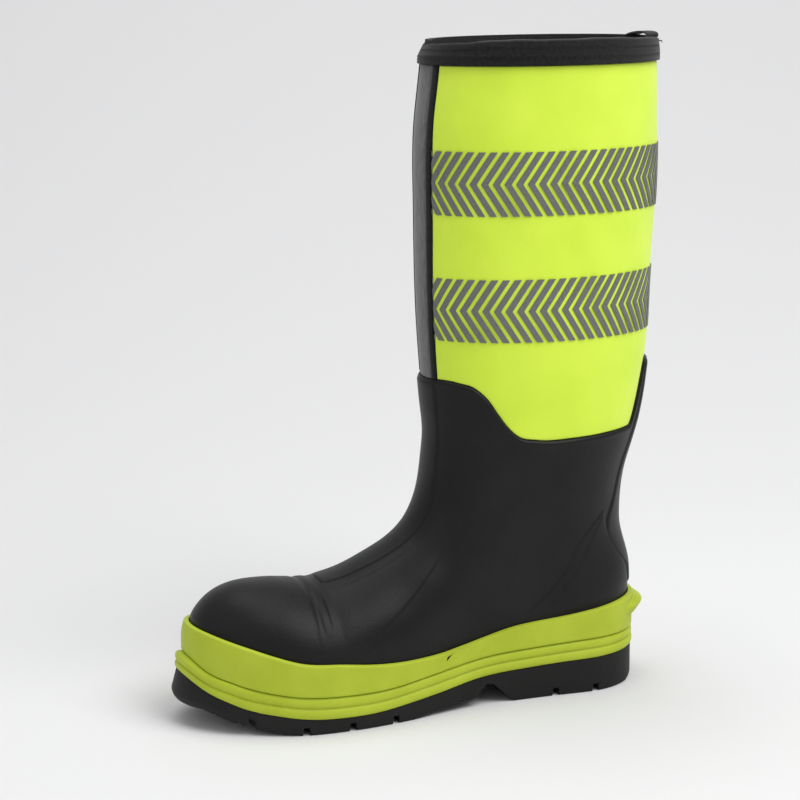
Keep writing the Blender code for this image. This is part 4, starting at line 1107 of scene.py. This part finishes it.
def sheet_over(name, u, v, rise, node, radius=0.0022, fade=1.0, step=0.0):
    """A thin rubber sheet over the foot: its rise falls along a soft S-curve at its edges, and
    fade, from 0 to 1 per point, sinks the places where the sheet melts into the foot.  Its inner
    face stays just under the foot's skin, so that no gap shows at a sunk edge."""
    base = surface(u, v)
    lifted = (rise + step) * ease(0, 1, rounded(base, False, radius, 0.0) ** 2) * fade
    sunk = SHEET_SINK * (1 - np.minimum(fade, 1))
    outer = RUBBER_OUT + lifted - sunk + hand_laid(base) + SHEET_LIFT
    inner = np.full(u.shape, RUBBER_OUT - 0.0006)
    points = np.vstack([layer(u, v, outer).reshape(-1, 3), layer(u, v, inner).reshape(-1, 3)])
    return piece(name, points, shell_faces(*u.shape, False), FOOT_RUBBER, [node], 60)


def seam_fade(u, v):
    """1 on the shoulders of the toe box, falling to a quarter over its top and to 0 low on its side."""
    z = surface(u, v)[..., 2]
    return ease(0.050, 0.068, z) * (1 - 0.75 * ease(0.077, 0.083, z))


def toe_sheets():
    """The cover, which fades only near its back edge, and the narrow strip behind it."""
    u, v = cap_grid(None, CAP_SEAM_Y, packed(70, 0.03, 6))
    behind = ease(0.75, 1.0, np.linspace(0, 1, len(u)))[:, None]
    fade = 1 - behind * (1 - seam_fade(u, v))
    sheet_over("toe_cover_sheet", u, v, 0.0007, "toe_cap_cover", 0.005, fade)
    u, v = cap_grid(CAP_SEAM_Y + 0.0012, CAP_SEAM_Y + 0.0082, packed(14, 0.1, 4))
    sheet_over("toe_strip_sheet", u, v, 0.0006, "toe_cap_edge_strip", 0.0034, seam_fade(u, v))


def instep_sheet():
    """A strip from behind the toe strip up the front to the rubber's top edge, wider as it climbs."""
    low = u_at_station(np.array([0.0]), CAP_SEAM_Y + 0.011)[0]
    share = packed(110, 0.01, 5)[:, None]
    half = through([0, 0.25, 0.55, 1], [0.020, 0.030, 0.042, 0.044], share[:, 0])[:, None]
    v = half * np.linspace(-1, 1, 33)[None]
    high = u_at_height(v[-1], rubber_top(v[-1]) - 0.0012)
    sheet_over("instep_sheet", low + (high - low)[None] * share, v, 0.0009, "instep_strip")


toe_sheets()
instep_sheet()

# %% Side panels
def sheets_on_both_sides(name, node, u, v, rise, radius, fade, step=0.0):
    """A lateral sheet and its mirror image, whose columns are turned round to keep faces outward."""
    sheet_over(f"lateral_{name}", u, v, rise, f"lateral_{node}", radius, fade, step)
    step = step[:, ::-1] if np.ndim(step) else step
    sheet_over(f"medial_{name}", u[:, ::-1], (1 - v)[:, ::-1], rise, f"medial_{node}", radius,
               fade[:, ::-1], step)


def vamp_sheets():
    """A panel on each side of the instep, from the toe strip back to the ankle."""
    share = packed(70, 0.012, 5)[:, None]
    across = packed(44, 0.012, 5)[None]
    front_v = through([0, 0.5, 1], [0.036, 0.046, 0.058], share)
    back_v = through([0, 0.25, 0.5, 0.75, 1], [0.190, 0.142, 0.110, 0.099, 0.090], share)
    v = front_v + (back_v - front_v) * across
    behind_cap = u_at_station(v[0], CAP_SEAM_Y + 0.0095)
    first = np.maximum(behind_cap, u_at_line(v[0], rand_top_z, 2 * GAP))
    bulge = through([0, 0.25, 0.5, 0.75, 1], [0, 0.045, 0.060, 0.025, 0], share)
    u = first * (1 - share) + 0.425 * share + bulge * across
    u = np.maximum(u, u_at_line(v, rand_top_z, GAP))
    ends = ease(0.0, 0.10, share) * (1 - ease(0.72, 0.98, share))
    fade = ends * ease(0.045, 0.066, surface(u, v)[..., 2])
    sheets_on_both_sides("vamp_sheet", "vamp_panel", u, v, 0.0007, 0.0035, fade)


vamp_sheets()

# %% Heel covers and stay
def stay_edge(z):
    """v of the back stay's outer edge: narrow at the heel and the top, wide at the ankle."""
    return through([0.056, 0.072, 0.086, 0.096, 0.108, 0.117, 0.125, 0.133, 0.145, 0.165, 0.206],
                   [0.446, 0.434, 0.421, 0.398, 0.377, 0.369, 0.374, 0.388, 0.400, 0.413, 0.432], z)


def heel_sheets():
    """The counter covers, two-stepped and curved, and the stay that climbs the back between them."""
    bottom, top = 0.054, 0.116
    share = packed(60, 0.012, 5)[:, None]
    across = packed(56, 0.012, 5)[None]
    level = bottom + (top - bottom) * share
    heights = [bottom, 0.068, 0.082, 0.096, 0.108, top]
    edge = through(heights, [0.281, 0.268, 0.271, 0.286, 0.312, 0.362], level)
    second = through(heights, [0.292, 0.284, 0.286, 0.301, 0.331, 0.367], level)
    v = edge + (stay_edge(level) - 0.003 - edge) * across
    low = u_at_line(v, rand_top_z, GAP)
    u = low + (u_at_height(v, np.full(v.shape, top)) - low) * share
    step = 0.0004 * ease(0.0, 0.010, v - second)
    fade = 0.25 + 0.75 * ease(0.0, 0.35, share) + 0 * v
    sheets_on_both_sides("counter_sheet", "counter_cover", u, v, 0.0005, 0.0050, fade, step)
    bottom, top = 0.060, RUBBER_BACK_TOP - 0.0015
    share = packed(110, 0.008, 5)[:, None]
    edge = stay_edge(bottom + (top - bottom) * share)
    v = edge + (1 - 2 * edge) * across
    low = u_at_line(v, rand_top_z, 0.0055)
    high = u_at_height(v, np.full(v.shape, top))
    sheet_over("back_stay_sheet", low + (high - low) * share, v, 0.0010, "back_stay", 0.0032)


heel_sheets()

# %% [markdown]
# ## Rand and bumper
#
# A lime rand hugs the foot and a bumper runs under it all round, with one groove between them and
# one along the bumper's middle.  The rand is a shell on the foot.  The bumper is a profile with two
# rounded ribs, carried round the sole edge, and at the toe it stands out further to guard the cap.

# %% Sole edge
def rim(v, distance):
    """The sole edge in plan, moved outward by a distance, and its y before it was moved."""
    level = np.zeros_like(v)
    p = surface(level, v)
    along = surface(level, v + 0.006) - surface(level, v - 0.006)
    out = np.stack([along[..., 1], -along[..., 0]], -1)
    out /= np.linalg.norm(out, axis=-1, keepdims=True)
    base_y = p[..., 1].copy()
    p[..., :2] += out * np.asarray(distance)[..., None]
    return p, base_y


def toe_weight(v):
    """1 at the tip of the toe, 0 behind the ball."""
    return 1 - ease(0.0, 0.13, fold(v))


RING = np.arange(360) / 360
BUMPER_REACH = 0.0055
BUMPER_TOE_REACH = 0.0095
OUTSOLE_REACH = 0.0045
OUTSOLE_TOE_REACH = 0.0120


def rand():
    """A band on the foot with rounded edges, from the groove up to its top line."""
    low = u_at_line(RING, groove_z, 0.00004)
    high = u_at_line(RING, rand_top_z)
    u = between(low, high, packed(26, 0.09, 6))
    inner = OVERLAY_IN + GAP - LAYER_GAP
    thickness = RAND - GAP + LAYER_GAP
    return skin("rand_band", u, RING[None], inner, thickness, LIME_RUBBER, ["rand"], True,
                0.0012, 0.0, 50)


def bumper():
    """Ribbed section carried round the sole edge; its shares run from its bottom to its top."""
    reach = BUMPER_REACH + (BUMPER_TOE_REACH - BUMPER_REACH) * toe_weight(RING)
    inner = OVERLAY_IN + 2 * GAP
    shares = np.array([0, 0.03, 0.08, 0.16, 0.26, 0.36, 0.43, 0.47, 0.50, 0.53, 0.57, 0.64, 0.74, 0.84,
                       0.91, 0.96, 1.0])
    back = np.array([1.6, 0.8, 0.3, 0.05, 0, 0.15, 0.6, 1.15, 1.4, 1.15, 0.6, 0.3, 0.35, 0.5, 0.9, 1.5,
                     2.6]) * 0.001
    section = [(None, 0)] + list(zip(-back, shares)) + [(None, 1)]
    loops = []
    for set_back, part in section:
        p, base_y = rim(RING, np.full(RING.shape, inner) if set_back is None else reach + set_back)
        low_z, high_z = sidewall_bottom_z(base_y) + 0.00005, groove_z(base_y)
        p[:, 2] = low_z + (high_z - low_z) * part
        loops.append(p)
    count, columns = len(section), len(RING)
    faces = grid_faces(count + 1, columns, True) % (count * columns)
    return piece("bumper_band", np.vstack(loops), faces, LIME_RUBBER, ["bumper"], 50)


rand()
bumper()

# %% [markdown]
# ### The kick-off spur
#
# A ledge behind the heel lets the other foot hold the boot while it is pulled off.  Its section is a
# wedge that is longest in the middle and fades away at both ends.

# %% Kick-off spur
SPUR_HALF = 0.084
SPUR_REACH = 0.0074
SPUR_DROP = 0.0070


def kick_off_spur():
    """Wedge-shaped section whose reach follows a power of a cosine across the heel.  It starts on the
    rand's face, runs out to the tip and comes back to the rand's face just under its top.  Towards
    both ends it shrinks about a line that lies SPUR_DROP under the rand's top."""
    half = np.linspace(-1, 1, 65)
    v = 0.5 + half * SPUR_HALF
    rand_face = OVERLAY_IN + RAND + 0.00005
    top_z = rand_top_z(surface(u_at_line(v, rand_top_z), v)[:, 1])
    swell = np.cos(half * math.pi / 2) ** 0.8
    outline = [(0, -0.0170), (0.25, -0.0153), (0.52, -0.0128), (0.80, -0.0100), (0.97, -0.0082),
               (1.0, -0.0072), (0.93, -0.0064), (0.72, -0.0053), (0.45, -0.0042), (0.18, -0.0034),
               (0, -0.0030)]
    loops = []
    for reach, rise in outline:
        z = top_z - SPUR_DROP + (rise + SPUR_DROP) * (0.35 + 0.65 * swell)
        loops.append(layer(u_at_height(v, z), v, rand_face + SPUR_REACH * reach * swell))
    rows, cols = len(loops), len(half)
    faces = (grid_faces(rows + 1, cols, False) % (rows * cols)).tolist()
    faces.append([i * cols for i in range(rows)])
    faces.append([i * cols + cols - 1 for i in reversed(range(rows))])
    return piece("kick_off_ledge", np.vstack(loops), faces, LIME_RUBBER, ["kick_off_spur"], 50)


kick_off_spur()

# %% [markdown]
# ## The outsole
#
# The outsole is a height field: straight rows run from the outer edge to the inner one, and the
# underside's height is the walking surface plus the grooves between the lugs.  A groove is a product
# of smooth steps, so its walls lean a little, as a mould needs.  The rows are closer together where
# a groove starts and ends.

# %% Outsole
CROSS_GROOVES = (-0.76, -0.56, -0.37, -0.18, 0.56, 0.74)
CHANNELS = ((-0.68, -0.06), (0.44, 0.86))
GROOVE_DEPTH = 0.0045
GROOVE_HALF = 0.0115
GROOVE_WALL = 0.004


def groove_depth(x, y):
    """Depth of the tread pattern at (x, y), in metres: cross grooves, a channel and slanted cuts."""
    s = station(y)
    depth = np.zeros(np.broadcast(x, y).shape)
    for centre in CROSS_GROOVES:
        near_cut = ease(-GROOVE_HALF - GROOVE_WALL, -GROOVE_HALF, -np.abs(s - centre))
        depth = np.maximum(depth, near_cut)
    for low, high in CHANNELS:
        inside = ease(low - GROOVE_WALL, low, s) * ease(-high - GROOVE_WALL, -high, -s)
        depth = np.maximum(depth, inside * ease(-0.0023, -0.0016, -np.abs(x - 0.0009)))
    slant = np.abs(np.mod(s * 11.0 + np.abs(x) * 9.0, 1.0) - 0.5)
    tread = ease(-0.90, -0.86, s) * ease(0.05, 0.09, -s) + ease(0.40, 0.44, s) * ease(-0.94, -0.90, -s)
    fine = ease(-0.09, -0.05, -slant) * ease(-0.036, -0.034, -np.abs(x)) * ease(0.006, 0.008, np.abs(x))
    return GROOVE_DEPTH * np.maximum(depth, 0.45 * fine * tread)


def outsole():
    """Underside in straight rows across, rounded up towards the outline.  Height = walking surface +
    grooves + r - sqrt(r^2 - (r - d)^2), where d is the distance to the outline and r the rounding."""
    walls = (-GROOVE_HALF - GROOVE_WALL, -GROOVE_HALF, GROOVE_HALF, GROOVE_HALF + GROOVE_WALL)
    cuts = [centre + wall for centre in CROSS_GROOVES for wall in walls]
    tip = 0.0008 + 0.011 * np.linspace(0, 1, 14) ** 1.5
    edge = np.r_[tip, np.linspace(0.0135, 0.4865, 200), 0.5 - tip[::-1]]
    y_edge = rim(edge, np.full(edge.shape, OUTSOLE_REACH))[0][:, 1]
    extra = np.interp(np.array(sorted(cuts)) * SOLE_LENGTH / 2, y_edge, edge)
    v = np.unique(np.round(np.r_[edge, extra], 6))
    reach = OUTSOLE_REACH + (OUTSOLE_TOE_REACH - OUTSOLE_REACH) * toe_weight(v)
    near_edge, base_y = rim(v, reach)
    far_edge = rim(1 - v, reach)[0]
    channel = 0.5 + np.array([-0.03, -0.022, 0.022, 0.03])
    across = np.unique(np.round(np.r_[packed(84, 0.06, 12), channel], 6))
    share = across[None, :, None]
    flat = near_edge[:, None] * (1 - share) + far_edge[:, None] * share
    outline = np.vstack([near_edge, far_edge[::-1], near_edge[:1]])[:, :2]
    gap = nearest(flat[..., 0], flat[..., 1], outline)[0]
    radius = 0.0014 + 0.0056 * (1 - ease(-0.95, -0.55, station(flat[..., 1])))
    corner = radius * (1 - np.sqrt(1 - (1 - np.clip(gap / radius, 0, 1)) ** 2))
    low = flat.copy()
    low[..., 2] = ground_z(flat[..., 1]) + groove_depth(flat[..., 0], flat[..., 1]) + corner
    tuck = reach - 0.0035 * toe_weight(v)
    top_near, top_far = rim(v, tuck)[0], rim(1 - v, tuck)[0]
    high = top_near[:, None] * (1 - share) + top_far[:, None] * share
    high[..., 2] = np.maximum(sidewall_bottom_z(base_y)[:, None], low[..., 2] + 0.001)
    points = np.vstack([low.reshape(-1, 3), high.reshape(-1, 3)])
    return piece("outsole_tread", points, shell_faces(len(v), len(across), False), SOLE_RUBBER, ["outsole"],
                 42)


outsole()

# %% [markdown]
# ## Inside the boot
#
# Through the collar one sees the knitted lining and, deep down, the loose footbed.  The foam bootie
# lies between the lining and the facing, and the steel and fibre parts are sealed in the foot, so
# these solids stay as they are and only get their finishes.

# %% Lining and footbed
def hidden_room(u, v):
    """Depth left between the rubber and the foam for the steel cap and the stiffener."""
    y, z = side_place(np.clip(u, 0, 1), v)
    cap = 1 - ease(CAP_SEAM_Y + 0.010, CAP_SEAM_Y + 0.034, y)
    heel = ease(BACK_Y - 0.085, BACK_Y - 0.055, y) * (1 - ease(0.078, 0.103, z))
    return 0.0032 * np.maximum(cap, heel)


def lining():
    """Inner tube of knitted cloth from the insole to the collar."""
    v = np.arange(160) / 160
    top = u_at_height(v, np.full(160, LAYER_TOP))
    u = between(np.full(160, 0.004), top, np.linspace(0, 1, 120))
    grid_v = np.broadcast_to(v, u.shape)
    room = hidden_room(u, grid_v)
    outer, inner = LINING_OUT - room, LINING_OUT - LINING - room
    points = np.vstack([layer(u, grid_v, outer).reshape(-1, 3), layer(u, grid_v, inner).reshape(-1, 3)])
    return piece("lining_tube", points, shell_faces(*u.shape, True), KNIT, ["sock_lining"], 60)


lining()


def loose_footbed():
    """Foam insole with rounded edges: height over the board is its thickness times a rounding."""
    v = np.linspace(0.03, 0.475, 90)
    inner = LINING_OUT - LINING - 0.0045
    reach = inner - 0.0092 * toe_weight(v) - 0.0032 * ease(0.3, 0.42, v)
    near_edge = rim(v, reach)[0]
    far_edge = rim(1 - v, reach)[0]
    share = packed(36, 0.06, 6)[None, :, None]
    flat = near_edge[:, None] * (1 - share) + far_edge[:, None] * share
    top = rounded(flat, False, 0.0022, 0.55)
    low, high = flat.copy(), flat.copy()
    low[..., 2] = feather_z(flat[..., 1])
    high[..., 2] = low[..., 2] + 0.005 * top
    points = np.vstack([low.reshape(-1, 3), high.reshape(-1, 3)])
    faces = shell_faces(len(v), share.shape[1], False)
    bed = piece("loose_footbed", points, faces, KNIT, ["footbed"], 50, "footbed")
    return bed


loose_footbed()

# %% Finishes for the solids that stay
for node_name, finish in (("neoprene_bootie", FOAM), ("cap_edge_foam", FOAM), ("midsole_filler", FOAM),
                          ("steel_toe_cap", STEEL), ("steel_midsole_plate", STEEL), ("steel_shank", STEEL),
                          ("counter_stiffener", BOARD), ("insole_board", BOARD)):
    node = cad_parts[node_name]
    node.data.materials.clear()
    node.data.materials.append(finish)
print("solids that stay:", [n for n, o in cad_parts.items() if not o.hide_render])

# %% [markdown]
# ## The studio
#
# A pale sweep stands in for the table and the wall behind it: flat ground, a quarter circle and an
# upright wall, carried sideways.  One large soft light hangs above and to the camera's right, a
# weaker one fills from the left, a third hangs high behind, and the world adds an even white glow.

# %% Floor, wall and lights
def sweep():
    """Floor and wall as one profile, turned so that the wall faces the camera."""
    turn = np.linspace(0, math.pi / 2, 25)
    bend = np.stack([-0.5 - 1.5 * np.sin(turn), 1.5 - 1.5 * np.cos(turn)], 1)
    profile = np.vstack([[(2.5, 0)], [(-0.5, 0)], bend, [(-2.0, 4.0)]])
    side = np.linspace(-4, 4, 9)
    away = -CAMERA_AROUND
    across = np.array([-math.sin(away), math.cos(away), 0])
    toward = np.array([math.cos(away), math.sin(away), 0])
    points = (profile[:, None, :1] * toward + side[None, :, None] * across
              + profile[:, None, 1:] * np.array([0, 0, 1]))
    mesh = bpy.data.meshes.new("sweep")
    mesh.from_pydata(points.reshape(-1, 3).tolist(), [], grid_faces(len(profile), len(side), False).tolist())
    mesh.shade_smooth()
    obj = bpy.data.objects.new("sweep", mesh)
    bpy.context.collection.objects.link(obj)
    mat, tree, shader = finish_nodes("pale_paper", (0.84, 0.84, 0.85), 0.9)
    bump(tree, shader, noise(tree, 60, 3), 0.0003, 0.2)
    mesh.materials.append(mat)
    return obj


def soft_light(name, around, above, distance, size, power):
    """Square area light at angles round the boot, aimed at its middle."""
    data = bpy.data.lights.new(name, "AREA")
    data.size = size
    data.energy = power
    obj = bpy.data.objects.new(name, data)
    around, above = math.radians(around), math.radians(above)
    obj.matrix_world = camera_matrix((0, 0, 0.2), around, above, distance, 0)
    bpy.context.collection.objects.link(obj)
    return obj


sweep()
soft_light("key_light", -35, 55, 1.9, 1.3, 25)
soft_light("fill_light", 75, 35, 2.2, 1.6, 3)
soft_light("top_light", 150, 75, 2.0, 1.4, 11)
world = bpy.data.worlds.new("studio")
world.use_nodes = True
world.node_tree.nodes["Background"].inputs["Color"].default_value = (1, 1, 1, 1)
world.node_tree.nodes["Background"].inputs["Strength"].default_value = 0.41
bpy.context.scene.world = world
bpy.context.scene.view_settings.view_transform = "Standard"
